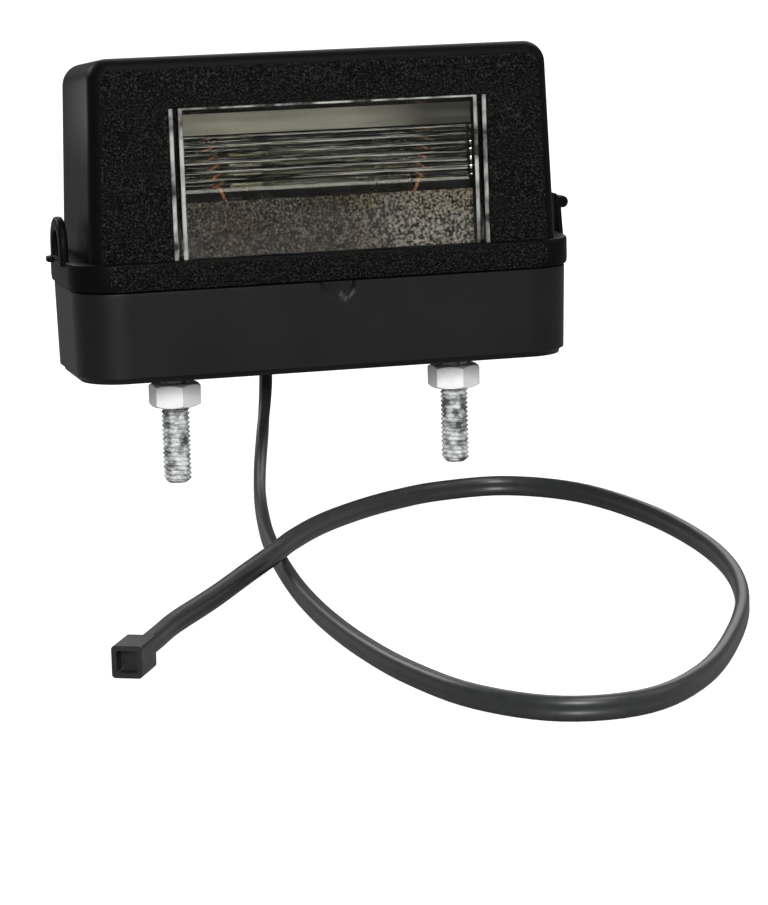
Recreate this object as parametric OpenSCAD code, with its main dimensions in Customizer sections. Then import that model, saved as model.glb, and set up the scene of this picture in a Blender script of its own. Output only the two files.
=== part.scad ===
// Number plate lamp: a black moulded base with two fixing studs, a hooded cover with a
// fluted lens, and a festoon bulb held between two spring contacts.
// X runs along the lamp, -Y is the window side, +Z points away from the mounting surface.
// The origin is midway between the studs, on the back face of the base.

/* [Base] */
// Length of the base at its rim
base_w = 86.8; // [85:0.2:97]
// Depth of the base at its rim
base_d = 30.8; // [29.4:0.2:40]
// Height of the base from its back face to the seam
base_h = 15.4; // [14:0.2:22]
// How much narrower each side is at the back face than at the rim
base_draft = 0.4; // [0.2:0.1:1.2]
// Wall thickness of the base
base_wall = 2.4; // [2.2:0.1:3]
// Floor thickness of the base
base_floor = 2.4; // [2.4:0.1:3.2]
// Plan radius of the upright corners
corner_r = 8; // [5:0.5:8.5]
// Radius of the edge round the back face
back_edge_r = 1; // [0.4:0.1:1.6]
// How far the housing's middle lies behind the stud line
housing_y = 1.4; // [0.8:0.1:2.4]
// Height of the lip that locates the hood
lip_h = 2.6; // [2:0.1:3]
// Width of the shoulder outside the lip
shoulder_w = 1.2; // [1:0.1:1.4]
// Radius of the half-round pry recess under the seam
pry_r = 2.9; // [2:0.1:4]
// Depth of the pry recess
pry_depth = 0.8; // [0.4:0.1:1]

/* [Hood] */
// Height of the skirt round the foot of the hood
skirt_h = 4.6; // [4.2:0.1:5.4]
// Height of the seam between base and skirt
seam_gap = 0.3; // [0.2:0.1:0.5]
// How far the skirt stands out past the base
skirt_over = 0.5; // [0.3:0.1:1]
// Width of the ledge on the skirt at the two ends
ledge_side = 3.1; // [2.8:0.1:3.6]
// Width of the ledge at the front
ledge_front = 2.1; // [1.8:0.1:2.4]
// Width of the ledge at the back
ledge_back = 1.4; // [1.2:0.1:2]
// Thickness of the ledge
ledge_t = 1.2; // [1:0.1:1.4]
// Height of the hood's front edge above the ledge
hood_h = 33.8; // [31.6:0.1:40]
// Wall thickness of the hood
hood_wall = 1.8; // [1.5:0.1:2.2]
// Backward lean of the window face in degrees
face_lean = 2; // [0:0.5:4]
// Inward lean of the end walls in degrees
side_lean = 1.6; // [0:0.2:3]
// Forward lean of the back wall in degrees
back_lean = 1.1; // [0:0.1:3]
// Fall of the roof towards the back in degrees
roof_fall = 4; // [3:0.5:11]
// Radius between the roof and the end walls
roof_edge_r = 3.7; // [3.4:0.1:5]
// Radius round the front and back edges
face_edge_r = 3; // [1.4:0.1:3.2]

/* [Latches] */
// Width of the ear
ear_w = 10; // [8:0.5:12]
// Thickness of the ear
ear_t = 1.5; // [1.2:0.1:1.8]
// Height of the ear above the ledge
ear_h = 7; // [6.6:0.2:10]
// How far the ear stands out past the skirt
ear_out = 0.6; // [0.3:0.1:1]
// Width of the bar that forms the ear's loop
loop_wall = 2.6; // [2:0.1:3]
// Thickness of the lug at the ear's foot
lug_t = 1.1; // [1:0.1:1.4]
// Width of the tongue
tongue_w = 3; // [2.4:0.2:8]
// Thickness of the tongue
tongue_t = 0.8; // [0.7:0.1:1.2]
// Height of the tongue above the ledge
tongue_h = 6.4; // [6:0.2:9]
// Distance of the tongue from the skirt
tongue_gap = 1.1; // [0.8:0.1:2]
// Inward lean of the tongue in degrees
tongue_lean = 4; // [0:0.5:5]
// Radius of the finger bead on the tongue
bead_r = 1; // [0.7:0.1:1.1]
// Width of the snap nib inside the skirt
nib_w = 7; // [5:0.5:8]
// Depth of the snap nib
nib_d = 0.7; // [0.5:0.1:0.8]
// Clearance of the hood over the lip
hood_clear = 0.2; // [0.15:0.05:0.3]

/* [Lens] */
// Length of the window
window_w = 55.5; // [50:0.5:60]
// Height of the window above the ledge
window_h = 25.4; // [22:0.2:26]
// Offset of the window's middle from the stud centre
window_x = 0.9; // [0:0.1:2]
// Clearance round the lens in its window
lens_clear = 0.15; // [0.1:0.05:0.25]
// How far the lens flange reaches past the window
flange_lip = 1.3; // [1:0.1:1.5]
// Thickness of the lens flange
flange_t = 1.2; // [1:0.1:1.5]
// Width of the plain channel at each end of the lens
channel_w = 2.3; // [1.8:0.1:3]
// Width of the groove in each channel
groove_w = 0.9; // [0.6:0.1:1.2]
// Depth of the groove
groove_d = 1.3; // [0.8:0.1:1.6]
// Height of the round bar along the top of the lens
bar_h = 4.4; // [3:0.1:5]
// How far the bar bulges inwards
bar_rise = 1; // [0.6:0.1:1.4]
// Number of flutes below the bar
flute_count = 6; // [4:1:7]
// Height of one flute
flute_pitch = 1.45; // [1.2:0.05:1.7]
// How far each flute bulges inwards
flute_rise = 0.45; // [0.2:0.05:0.7]

/* [Bulb and contacts] */
// Overall length of the festoon bulb
bulb_len = 36; // [33:0.5:37]
// Diameter of the bulb's glass
glass_d = 10; // [8:0.5:11]
// Length of each end cap from its rim to its tip
cap_len = 7.8; // [7:0.1:8.4]
// Wall of the glass
glass_wall = 0.6; // [0.4:0.1:0.8]
// Diameter of the end caps
cap_d = 7.6; // [6:0.2:8]
// Height of the bulb's axis above the back face
bulb_z = 33; // [30:0.5:35]
// Distance of the bulb's axis behind the stud line
bulb_y = 0.5; // [0:0.1:1]
// Thickness of the contact strip
strip_t = 0.5; // [0.4:0.05:0.6]
// Width of the contact strip
strip_w = 7; // [5:0.5:8]
// Outward lean of the contact blades in degrees
blade_lean = 16; // [4:1:17]
// Distance of each contact's rivet from the window's middle
rivet_x = 10; // [9:0.2:11]
// Height of the posts that carry the contacts
post_h = 7.6; // [6.6:0.2:8.6]
// Width of the posts
post_w = 8; // [7:0.2:8]
// Diameter of the rivet shanks
rivet_d = 2.4; // [2:0.1:2.6]
// Length of each rivet below the terminal
rivet_len = 5; // [3:0.5:6]

/* [Studs] */
// Distance between the studs
stud_pitch = 50; // [49:0.5:52]
// Thread diameter of the studs
stud_d = 5; // [4:0.5:5]
// Length of the studs below the back face
stud_out = 19.5; // [16:0.5:30]
// Width across the flats of nut and stud head
hex_af = 8; // [7:0.5:8]
// Thickness of the stud head
head_h = 3.5; // [3:0.1:3.6]
// Thickness of the nuts
nut_h = 4; // [3:0.1:5]
// Space left for the mounting sheet
sheet_gap = 2.2; // [1:0.1:4]
// Turn of the nuts in degrees
nut_turn = 35; // [0:1:59]
// Clearance round the stud in its hole
stud_clear = 0.15; // [0.1:0.05:0.3]

/* [Cable] */
// Width of the flat cable across both cores
cable_w = 3.3; // [3:0.1:3.6]
// Thickness of the flat cable
cable_t = 2; // [1.8:0.1:2.2]
// Length of the block on the cable's end
end_cap_len = 6.8; // [5:0.2:9]
// Width of the end block
end_cap_w = 4.2; // [4:0.1:5]
// Height of the end block
end_cap_h = 4.4; // [4.2:0.1:5]
// Outer diameter of the grommet's flanges
grommet_d = 7.2; // [6.8:0.1:7.4]
// Diameter of the grommet's neck
grommet_neck = 5.6; // [5.4:0.1:5.8]
// Diameter of one insulated core
core_d = 1.4; // [1.2:0.1:1.5]

/* [Hidden] */

fine = 48;
slab_t = 0.02;
over = 0.5;
floor_z = -stud_out;

// Bolt: a collar fills the hole in the floor, a plain stretch passes the sheet, and the
// thread below is drawn at the depth of its grooves.
stud_r = stud_d / 2;
collar_r = stud_r + 0.2;
thread_r = stud_r - 0.2;
boss_wall = 2.4;

lip_top = base_h + lip_h;
skirt_bottom = base_h + seam_gap;
skirt_top = skirt_bottom + skirt_h;
seal_h = skirt_top - ledge_t - lip_top;
front_y = housing_y - base_d / 2;

nib_h = 1.1;
nib_play = 0.3;
nib_z = skirt_bottom + 0.4 + nib_h / 2;
lip_x = base_w / 2 - shoulder_w;
flange_h = 1;
top_band = 0.6;
skirt_foot = 0.9;
skirt_in = 0.1;
skirt_round = 0.5;

hood_half = base_w / 2 + skirt_over - ledge_side;
hood_front = front_y - skirt_over + ledge_front;
hood_back = housing_y + base_d / 2 + skirt_over - ledge_back;
hood_top = skirt_top + hood_h;

post_top = base_floor + post_h;
tag_t = 0.5;
foot_z = post_top + tag_t;
contact_x = bulb_len / 2 - 1;
glass_len = bulb_len - 2 * cap_len;
coil_len = 0.41 * glass_len;
coil_rise = 0.95;
foot_reach = 3.4;
blade_mid = foot_z + 0.4 * (bulb_z - foot_z);
blade_up = 4.6;
flare_h = 5.6;
flare_out = 1.2;
core_z = foot_z + core_d / 2 + 0.1;
barrel_y = bulb_y + strip_w / 2 + 0.2;
barrel_len = 2.4;
core_end_y = barrel_y + barrel_len + 0.1;

cable_x = -6.8;
post_gap = 0.5;
cable_y = bulb_y + post_w / 2 + post_gap + grommet_d / 2;
sheath_in = 4;
lead_in_top = base_floor + sheath_in;
lie_z = floor_z + cable_w / 2;
over_z = lie_z + cable_w + 0.1;
cap_z = floor_z + end_cap_h / 2;

// The cable leaves the grommet straight down, reaches the surface in front of the lamp,
// runs round one loop, crosses over itself in a low hump and ends in the block.
ROUTE = [
  [cable_x, cable_y, 0], [cable_x, cable_y, -1.5], [cable_x, cable_y, -3], [-7.2, cable_y - 1, -6],
  [-8.4, 4.4, -10], [-10.2, -1, -13.6], [-12.4, -8.5, -16.3],
  [-14.8, -18, lie_z], [-17.6, -30, lie_z], [-21, -46, lie_z],
  [-24.4, -64, lie_z], [-27.2, -84, lie_z], [-29.2, -103, lie_z],
  [-30.1, -121, lie_z], [-29.8, -139, lie_z], [-28, -156, lie_z],
  [-23.8, -171.5, lie_z], [-15.5, -181.5, lie_z], [-4, -181.5, lie_z],
  [7.5, -170.5, lie_z], [18.5, -152, lie_z], [27.6, -132, lie_z],
  [33.8, -111, lie_z], [36.8, -89, lie_z], [36.6, -66, lie_z],
  [32.4, -45.5, lie_z], [23.2, -35, lie_z], [11.6, -35.2, lie_z],
  [2, -43, lie_z + 0.7], [-7, -53.6, lie_z + 1.6], [-17, -68.4, lie_z + 2.8],
  [-25, -81.8, over_z], [-29.8, -90.4, over_z], [-36, -98.8, over_z - 0.8],
  [-43, -107.6, lie_z + 1.4], [-50.8, -117.6, cap_z], [-54.8, -125.2, cap_z],
  [-58.8, -132.8, cap_z]
];

// Left core, from the split sheath to the left terminal.
split_y = core_d / 2 + 0.05;
step = core_d / 2;
end_left = window_x - rivet_x;
run_left = end_left - cable_x;
CORE_LEFT = [
  [cable_x, cable_y + split_y, lead_in_top], [cable_x, cable_y + split_y, lead_in_top + step],
  [cable_x, cable_y + split_y, lead_in_top + 2 * step],
  [cable_x + 0.3 * run_left, cable_y + 1.4 * step, core_z - 1.9],
  [cable_x + 0.7 * run_left, cable_y + 0.2, core_z - step],
  [end_left, core_end_y + 2 * step, core_z], [end_left, core_end_y + step, core_z], [end_left, core_end_y, core_z]
];
// Right core, from the split sheath to the right terminal.
end_right = window_x + rivet_x;
run_right = end_right - cable_x;
CORE_RIGHT = [
  [cable_x, cable_y - split_y, lead_in_top], [cable_x, cable_y - split_y, lead_in_top + step],
  [cable_x, cable_y - split_y, lead_in_top + 2 * step],
  [cable_x + 0.07 * run_right, cable_y - 1.4 * step, core_z - 1.7],
  [cable_x + 0.3 * run_right, cable_y + step, core_z + 0.3],
  [cable_x + 0.67 * run_right, cable_y + step, core_z + 0.5],
  [cable_x + 0.92 * run_right, cable_y + 0.4, core_z + 0.2],
  [end_right, core_end_y + 2 * step, core_z], [end_right, core_end_y + step, core_z],
  [end_right, core_end_y, core_z]
];

function unit(v) = v / norm(v);
// Point on the smooth curve through P, between P[i] and P[i + 1].
function spline(P, i, t) =
  let (
    last = len(P) - 1,
    a = P[max(i - 1, 0)], b = P[i], c = P[min(i + 1, last)], d = P[min(i + 2, last)]
  )
  0.5 * (2 * b + (c - a) * t + (2 * a - 5 * b + 4 * c - d) * t * t
    + (3 * b - a - 3 * c + d) * t * t * t);
function curve(P, steps) = [
  for (i = [0:len(P) - 2], k = [0:steps - 1]) spline(P, i, k / steps),
  P[len(P) - 1]
];
// Direction of travel at point i of a fine curve C whose ends run straight.
function heading(C, i) =
  let (last = len(C) - 1)
  unit(C[min(i + 1, last)] - C[max(i - 1, 0)]);
// Level direction across the cable: square to its travel and to the upright, or to the
// forward direction where the cable hangs.
function across(t) =
  let (w = max(0, (abs(t[2]) - 0.5) * 2))
  unit((1 - w) * cross(t, [0, 0, 1]) + w * cross(t, [0, -1, 0]));
// Eight-sided oval ring round a point, w tall and th thick.
function oval_ring(p, t, w, th, sides) =
  let (n = across(t), b = cross(n, t))
  [for (k = [0:sides - 1])
    let (a = 360 * (k + 0.5) / sides, fit = cos(180 / sides))
    p + n * (th / 2 * cos(a) / fit) + b * (w / 2 * sin(a) / fit)];

// Tube of oval section along the fine curve C.
module oval_tube(C, w, th, sides = 8) {
  rings = len(C);
  points = [for (i = [0:rings - 1]) each oval_ring(C[i], heading(C, i), w, th, sides)];
  walls = [for (i = [0:rings - 2], k = [0:sides - 1])
    let (k2 = (k + 1) % sides, a = i * sides, b = (i + 1) * sides)
    each [[a + k, a + k2, b + k2], [a + k, b + k2, b + k]]];
  first = [for (k = [sides - 1:-1:0]) k];
  end = [for (k = [0:sides - 1]) (rings - 1) * sides + k];
  polyhedron(points, concat(walls, [first, end]), convexity = 8);
}

// Rectangle w by d with corners of radius r, round the housing's middle.
module rounded_rect(w, d, r) {
  translate([0, housing_y]) {
    square([w - 2 * r, d], center = true);
    square([w, d - 2 * r], center = true);
    for (x = [-1, 1], y = [-1, 1])
      translate([x * (w / 2 - r), y * (d / 2 - r)]) circle(r, $fn = 32);
  }
}

// Level slice of the base outline, inset from the rim, thin unless it has a height.
module base_slice(z, inset, h = slab_t) {
  translate([0, 0, z])
    linear_extrude(h)
      rounded_rect(base_w - 2 * inset, base_d - 2 * inset, max(corner_r - inset, 0.6));
}

// Ring between two insets of the base outline.
module outline_ring(outer_inset, inner_inset, h) {
  linear_extrude(h)
    difference() {
      rounded_rect(base_w - 2 * outer_inset, base_d - 2 * outer_inset, corner_r - outer_inset);
      rounded_rect(base_w - 2 * inner_inset, base_d - 2 * inner_inset,
        max(corner_r - inner_inset, 0.6));
    }
}

// Inset of the drafted base wall at height z.
function draft_at(z) = base_draft * (1 - z / base_h);

module base_outside() {
  hull() {
    base_slice(0, base_draft + back_edge_r * 0.8);
    base_slice(back_edge_r * 0.3, draft_at(0) + back_edge_r * 0.25);
    base_slice(back_edge_r, draft_at(back_edge_r));
    base_slice(base_h - slab_t, 0);
  }
}

module base_inside() {
  hull() {
    base_slice(base_floor, draft_at(base_floor) + base_wall);
    base_slice(base_h + over, base_wall);
  }
}

// Boss round one stud head, with a six-sided pocket that keeps the head from turning.
module stud_boss(x) {
  translate([x, 0, base_floor - 0.2]) cylinder(r = hex_af / 2 + boss_wall, h = head_h + 0.2, $fn = fine);
}

module base_housing() {
  color("#26282a")
  difference() {
    union() {
      difference() {
        base_outside();
        base_inside();
      }
      translate([0, 0, base_h - over]) outline_ring(shoulder_w, base_wall, lip_h + over);
      intersection() {
        union() {
          for (side = [-1, 1]) stud_boss(side * stud_pitch / 2);
        }
        base_outside();
      }
      for (side = [-1, 1])
        translate([window_x + side * rivet_x - post_w / 2, bulb_y - post_w / 2, base_floor - 0.2])
          cube([post_w, post_w, post_h + 0.2]);
    }
    for (side = [-1, 1]) {
      translate([side * stud_pitch / 2, 0, -over])
        cylinder(r = collar_r + stud_clear, h = base_floor + 2 * over, $fn = fine);
      translate([side * stud_pitch / 2, 0, base_floor])
        cylinder(r = (hex_af / 2 + stud_clear) / cos(30), h = head_h + over, $fn = 6);
      translate([window_x + side * rivet_x, bulb_y, post_top - rivet_len - 0.4])
        cylinder(r = rivet_d / 2 + 0.05, h = rivet_len + over + 0.4, $fn = fine);
      translate([side * lip_x, housing_y, nib_z])
        cube([2 * (nib_d + 0.1), nib_w + 2 * nib_play, nib_h + 2 * nib_play], center = true);
    }
    translate([cable_x, cable_y, -over])
      cylinder(r = grommet_d / 2 + 0.1, h = flange_h + over, $fn = fine);
    translate([cable_x, cable_y, -over])
      cylinder(r = grommet_neck / 2 + 0.05, h = base_floor + 2 * over, $fn = fine);
    translate([window_x, front_y - over, base_h])
      rotate([-90, 0, 0]) cylinder(r = pry_r, h = pry_depth + over, $fn = fine);
  }
}

// Round disc whose axis is square to a wall that leans by angle, its outer face at point p.
module edge_disc(p, angle, depth, r) {
  translate(p)
    rotate([-90 + angle, 0, 0])
      translate([0, 0, depth]) cylinder(r = r, h = slab_t, $fn = 32);
}

// Body of the hood, all walls drawn in by inset, reaching down to height z0.
module hood_body(inset, z0) {
  top_r = max(roof_edge_r - inset, 0.5);
  edge_r = max(face_edge_r - inset, 0.3);
  front_top = hood_top - inset;
  back_run = hood_back - hood_front;
  back_top = front_top - back_run * tan(roof_fall);
  drop = skirt_top - z0;
  hull() {
    translate([0, 0, z0])
      linear_extrude(slab_t)
        hood_plan(inset, drop);
    for (side = [-1, 1]) {
      for (cut = [[0, edge_r], [0.3 * edge_r, 0.3 * edge_r], [edge_r, 0]]) {
        edge_disc([side * disc_x(front_top - top_r, inset, top_r), face_y(front_top - top_r) + inset,
          front_top - top_r], face_lean, cut[0], top_r - cut[1]);
        edge_disc([side * disc_x(back_top - top_r, inset, top_r), back_face_y(back_top - top_r) - inset,
          back_top - top_r], 180 - back_lean, cut[0], top_r - cut[1]);
      }
    }
  }
}

// Position of the window face and of the back wall at height z.
function face_y(z) = hood_front + (z - skirt_top) * tan(face_lean);
function back_face_y(z) = hood_back - (z - skirt_top) * tan(back_lean);
function disc_x(z, inset, r) = hood_half - (z - skirt_top) * tan(side_lean) - inset - r;

// Plan of the hood at a depth below the ledge's top, drawn in by inset.
module hood_plan(inset, drop) {
  r = max(face_edge_r - inset, 0.3) + 0.3;
  half = hood_half - inset + drop * tan(side_lean);
  y0 = hood_front + inset - drop * tan(face_lean);
  y1 = hood_back - inset + drop * tan(back_lean);
  translate([-half + r, y0]) square([2 * (half - r), y1 - y0]);
  translate([-half, y0 + r]) square([2 * half, y1 - y0 - 2 * r]);
  for (side = [-1, 1], y = [y0 + r, y1 - r])
    translate([side * (half - r), y]) circle(r, $fn = 32);
}

// Skirt, with a small slope at its foot and a rounded edge along the ledge.
module skirt_outside() {
  hull() {
    base_slice(skirt_bottom, skirt_in - skirt_over);
    base_slice(skirt_bottom + skirt_foot, -skirt_over, skirt_h - skirt_foot - skirt_round);
    base_slice(skirt_top - 0.3 * skirt_round, 0.3 * skirt_round - skirt_over);
    base_slice(skirt_top - slab_t, skirt_round - skirt_over);
  }
}

skirt_half = base_w / 2 + skirt_over;
lug_over = 0.9;
lug_w = 2.6;
foot_drop = 3;
bead_drop = 1.5;

// Outline of the ear seen from the end, flat at its foot and round at its top.
module ear_outline(w, h) {
  translate([-w / 2, 0]) square([w, h - w / 2]);
  intersection() {
    translate([-w / 2, 0]) square([w, h]);
    translate([0, h - w / 2]) circle(w / 2, $fn = fine);
  }
}

// Left ear: an arched loop on the ledge's edge, with a lug at its back foot that sticks out.
module ear() {
  x1 = skirt_half + ear_out;
  foot = skirt_top - lug_t;
  translate([-x1, housing_y, foot])
    rotate([90, 0, 90])
      linear_extrude(ear_t)
        difference() {
          ear_outline(ear_w, ear_h + lug_t);
          translate([0, lug_t + 0.3]) ear_outline(ear_w - 2 * loop_wall, ear_h - loop_wall);
        }
  translate([-x1 - lug_over, housing_y + ear_w / 2 - lug_w, foot])
    cube([lug_over + ear_t, lug_w, lug_t]);
}

// Right tongue: a springy blade on a foot below the ledge, with a finger bead on its outside.
module tongue() {
  foot = skirt_top - foot_drop;
  rise = foot_drop + tongue_h;
  x0 = skirt_half + tongue_gap;
  bead_z = rise - bead_drop;
  top_in = rise * tan(tongue_lean);
  bead_in = bead_z * tan(tongue_lean);
  translate([skirt_half - 0.6, housing_y - tongue_w / 2, foot])
    cube([0.6 + tongue_gap + tongue_t, tongue_w, lug_t]);
  translate([x0, housing_y + tongue_w / 2, foot])
    rotate([90, 0, 0])
      linear_extrude(tongue_w)
        polygon([[0, 0], [tongue_t, 0], [tongue_t - bead_in, bead_z], [0.3 - top_in, rise], [-top_in, rise]]);
  translate([x0 - bead_in + tongue_t + 0.5 * bead_r, housing_y - tongue_w / 2, foot + bead_z])
    rotate([-90, 0, 0]) cylinder(r = bead_r, h = tongue_w, $fn = 32);
}

// Frame of the window face: X along the face, Y up the face from the ledge, Z into the lamp.
module on_face() {
  translate([window_x, hood_front, skirt_top])
    rotate([90 - face_lean, 0, 0]) mirror([0, 0, 1]) children();
}

// Room inside the skirt for the base's lip.
module lip_room() {
  inset = shoulder_w - hood_clear;
  translate([0, 0, skirt_bottom - over])
    linear_extrude(skirt_h - ledge_t + over)
      rounded_rect(base_w - 2 * inset, base_d - 2 * inset, corner_r - inset);
}

module hood() {
  color("#1d1f20") {
    difference() {
      union() {
        hood_body(0, skirt_top - ledge_t);
        skirt_outside();
        ear();
        tongue();
      }
      hood_body(hood_wall, skirt_bottom - over);
      lip_room();
      on_face()
        translate([-window_w / 2, 0, -over]) cube([window_w, window_h, hood_wall + 2 * over]);
    }
    for (side = [-1, 1])
      translate([side * (lip_x + hood_clear + 0.2 - nib_d / 2), housing_y, nib_z])
        cube([nib_d + 0.4, nib_w, nib_h], center = true);
  }
}

module hood_seal() {
  color("#101112")
  translate([0, 0, lip_top]) outline_ring(shoulder_w + 0.05, base_wall + 0.05, seal_h);
}

// Section of the lens seen from the end: plain below, then the flutes, then the bar.
function flute_points() =
  let (
    pane_h = window_h - lens_clear,
    depth = hood_wall + flange_t,
    bar = pane_h - top_band - bar_h,
    start = bar - flute_count * flute_pitch
  )
  concat(
    [[0, 0], [0, depth], [start, depth]],
    [for (i = [0:flute_count - 1], k = [1:6])
      [start + (i + k / 6) * flute_pitch, depth + flute_rise * sin(180 * k / 6)]],
    [for (k = [1:12]) [bar + k / 12 * bar_h, depth + bar_rise * sin(180 * k / 12)]],
    [[pane_h, depth], [pane_h, 0]]
  );

module lens() {
  half = window_w / 2 - lens_clear;
  flange_z = hood_wall + 0.1;
  color("#cfd3cf", 0.5)
  on_face()
    difference() {
      union() {
        translate([-half + channel_w, 0, 0])
          rotate([0, 90, 0])
            mirror([1, 0, 0])
              linear_extrude(2 * (half - channel_w))
                polygon([for (p = flute_points()) [p[1], p[0]]]);
        translate([-half, 0, 0]) cube([2 * half, window_h - lens_clear, flange_z + 0.1]);
        translate([-half - flange_lip, 0, flange_z])
          cube([2 * (half + flange_lip), window_h + flange_lip, flange_t - 0.1]);
      }
      for (side = [-1, 1])
        translate([side * (half - channel_w / 2) - groove_w / 2, 0.8, -over])
          cube([groove_w, window_h - 2, groove_d + over]);
    }
}

// The bulb's own frame: its axis along X, its middle at the origin.
module on_bulb() {
  translate([window_x, bulb_y, bulb_z]) children();
}

module bulb_glass() {
  r = glass_d / 2;
  neck = cap_d / 2 - 0.5;
  half = glass_len / 2 + 1.2;
  color("#e6efef", 0.4)
  on_bulb() rotate([0, 90, 0])
    rotate_extrude($fn = fine)
      difference() {
        glass_half(r, neck, half);
        glass_half(r - glass_wall, neck - glass_wall, half - glass_wall);
      }
}

// Half section of the glass: a barrel with rounded shoulders down to its two necks.
module glass_half(r, neck, half) {
  s = r - neck;
  polygon(concat([[0, -half], [neck, -half]],
    [for (a = [0:15:90]) [neck + s * sin(a), -half + 1.8 + s * (1 - cos(a))]],
    [for (a = [90:-15:0]) [neck + s * sin(a), half - 1.8 - s * (1 - cos(a))]],
    [[neck, half], [0, half]]));
}

// End cap of the bulb; side is -1 or 1. A can with a cone and a short tip.
module bulb_cap(side) {
  inner = glass_len / 2;
  cone = contact_x - 0.8;
  rc = cap_d / 2;
  color("#c8b68a")
  on_bulb() rotate([0, side * 90, 0])
    rotate_extrude($fn = fine)
      polygon([[0, inner + 1.3], [rc - 0.45, inner + 1.3], [rc - 0.45, inner], [rc, inner],
        [rc, cone], [1.7, contact_x], [1.4, contact_x + 0.1], [1.3, bulb_len / 2],
        [0, bulb_len / 2]]);
}

module bulb_cap_left() { bulb_cap(-1); }
module bulb_cap_right() { bulb_cap(1); }

// Filament: two support wires that rise from the end caps and a wavy coil between them.
module bulb_filament() {
  reach = glass_len / 2 + 0.5;
  end = reach - 1.2;
  bow = 0.7 * coil_len;
  hook = 0.4 * coil_len;
  C = curve([[-reach, 0, 0], [-end, 0, 0], [-bow, 0, 0.4], [-hook, 0, coil_rise + 0.15], [0, 0, 0.7],
    [hook, 0, coil_rise + 0.15], [bow, 0, 0.4], [end, 0, 0], [reach, 0, 0]], 3);
  color("#8f8f8a")
  on_bulb() {
    oval_tube(C, 0.35, 0.35, 6);
    translate([-coil_len / 2, 0, coil_rise]) rotate([0, 90, 0]) cylinder(r = 0.45, h = coil_len, $fn = 16);
  }
}

// Closed outline of a strip of thickness t whose outer side follows the points P.
function strip_outline(P, t) =
  let (
    n = len(P),
    dirs = [for (i = [0:n - 1]) unit(P[min(i + 1, n - 1)] - P[max(i - 1, 0)])],
    back = [for (i = [n - 1:-1:0])
      let (
        a = unit(P[max(i, 1)] - P[max(i - 1, 0)]), b = unit(P[min(i + 1, n - 1)] - P[min(i, n - 2)]),
        m = unit(a + b), k = t / max(0.5, a * m)
      )
      P[i] + k * [-m[1], m[0]]]
  )
  concat(P, back);

// Outer side of a contact's blade at height z: it clears the shoulder of the bulb's tip.
function blade_x(z) =
  contact_x + 1.7 * tan(blade_lean) + 0.06 + strip_t / cos(blade_lean) + (z - bulb_z) * tan(blade_lean);

// Spring contact; side is -1 or 1. The foot lies on the terminal, the blade leans out and up
// past the bulb's tip, which sits in its hole, and flares at its top.
module contact(side) {
  knee = rivet_x + foot_reach;
  blade_top = bulb_z + blade_up;
  P = [[rivet_x - foot_reach, foot_z], [knee - 0.8, foot_z], [knee, foot_z + 0.4], [knee + 0.3, foot_z + 1.2],
    [blade_x(blade_mid), blade_mid], [blade_x(blade_top), blade_top],
    [blade_x(blade_top) + flare_out, bulb_z + flare_h]];
  color("#b4643c")
  translate([window_x, bulb_y, 0])
    mirror([side < 0 ? 1 : 0, 0, 0])
      difference() {
        translate([0, strip_w / 2, 0])
          rotate([90, 0, 0]) linear_extrude(strip_w) polygon(strip_outline(P, strip_t));
        translate([rivet_x, 0, foot_z - over])
          cylinder(r = rivet_d / 2 + 0.05, h = strip_t + 2 * over, $fn = fine);
        translate([contact_x - over, 0, bulb_z]) rotate([0, 90, 0])
          cylinder(r = 1.75, h = strip_t + 4 * over, $fn = fine);
      }
}

module contact_left() { contact(-1); }
module contact_right() { contact(1); }

// Terminal under the contact's foot, with a barrel crimped round the end of its core.
module terminal(side) {
  x = window_x + side * rivet_x;
  barrel_r = core_d / 2 + 0.35;
  color("#c2a24e")
  difference() {
    union() {
      translate([x, bulb_y, post_top]) cylinder(r = 2.9, h = tag_t, $fn = fine);
      translate([x - 1.2, bulb_y, post_top]) cube([2.4, barrel_y + barrel_len - bulb_y, tag_t]);
      translate([x, barrel_y, core_z])
        rotate([-90, 0, 0]) cylinder(r = barrel_r, h = barrel_len, $fn = 32);
    }
    translate([x, bulb_y, post_top - over]) cylinder(r = rivet_d / 2 + 0.05, h = tag_t + 2 * over, $fn = fine);
    translate([x, barrel_y - over, core_z])
      rotate([-90, 0, 0]) cylinder(r = core_d / 2 - 0.2, h = barrel_len + 2 * over, $fn = 32);
  }
}

module terminal_left() { terminal(-1); }
module terminal_right() { terminal(1); }

// Tubular rivet that clamps the contact and its terminal to the post.
module rivet(side) {
  head_z = foot_z + strip_t;
  r = rivet_d / 2;
  color("#c9ab58")
  translate([window_x + side * rivet_x, bulb_y, 0])
    rotate_extrude($fn = fine)
      polygon([[0.5, post_top - rivet_len], [r, post_top - rivet_len], [r, head_z], [2.1, head_z],
        [2, head_z + 0.5], [1.5, head_z + 0.9], [0.9, head_z + 1], [0.5, head_z + 0.7]]);
}

module rivet_left() { rivet(-1); }
module rivet_right() { rivet(1); }

module core_wire_left() {
  color("#6b4226") oval_tube(curve(CORE_LEFT, 3), core_d, core_d);
}

module core_wire_right() {
  color("#d9dad6") oval_tube(curve(CORE_RIGHT, 3), core_d, core_d);
}

// Flat outline of the cable, its two cores side by side along Y.
module cable_section(extra = 0) {
  r = cable_t / 2 + extra;
  for (y = [-1, 1]) translate([0, y * (cable_w - cable_t) / 2]) circle(r, $fn = 32);
  square([2 * r, cable_w - cable_t], center = true);
}

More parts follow.
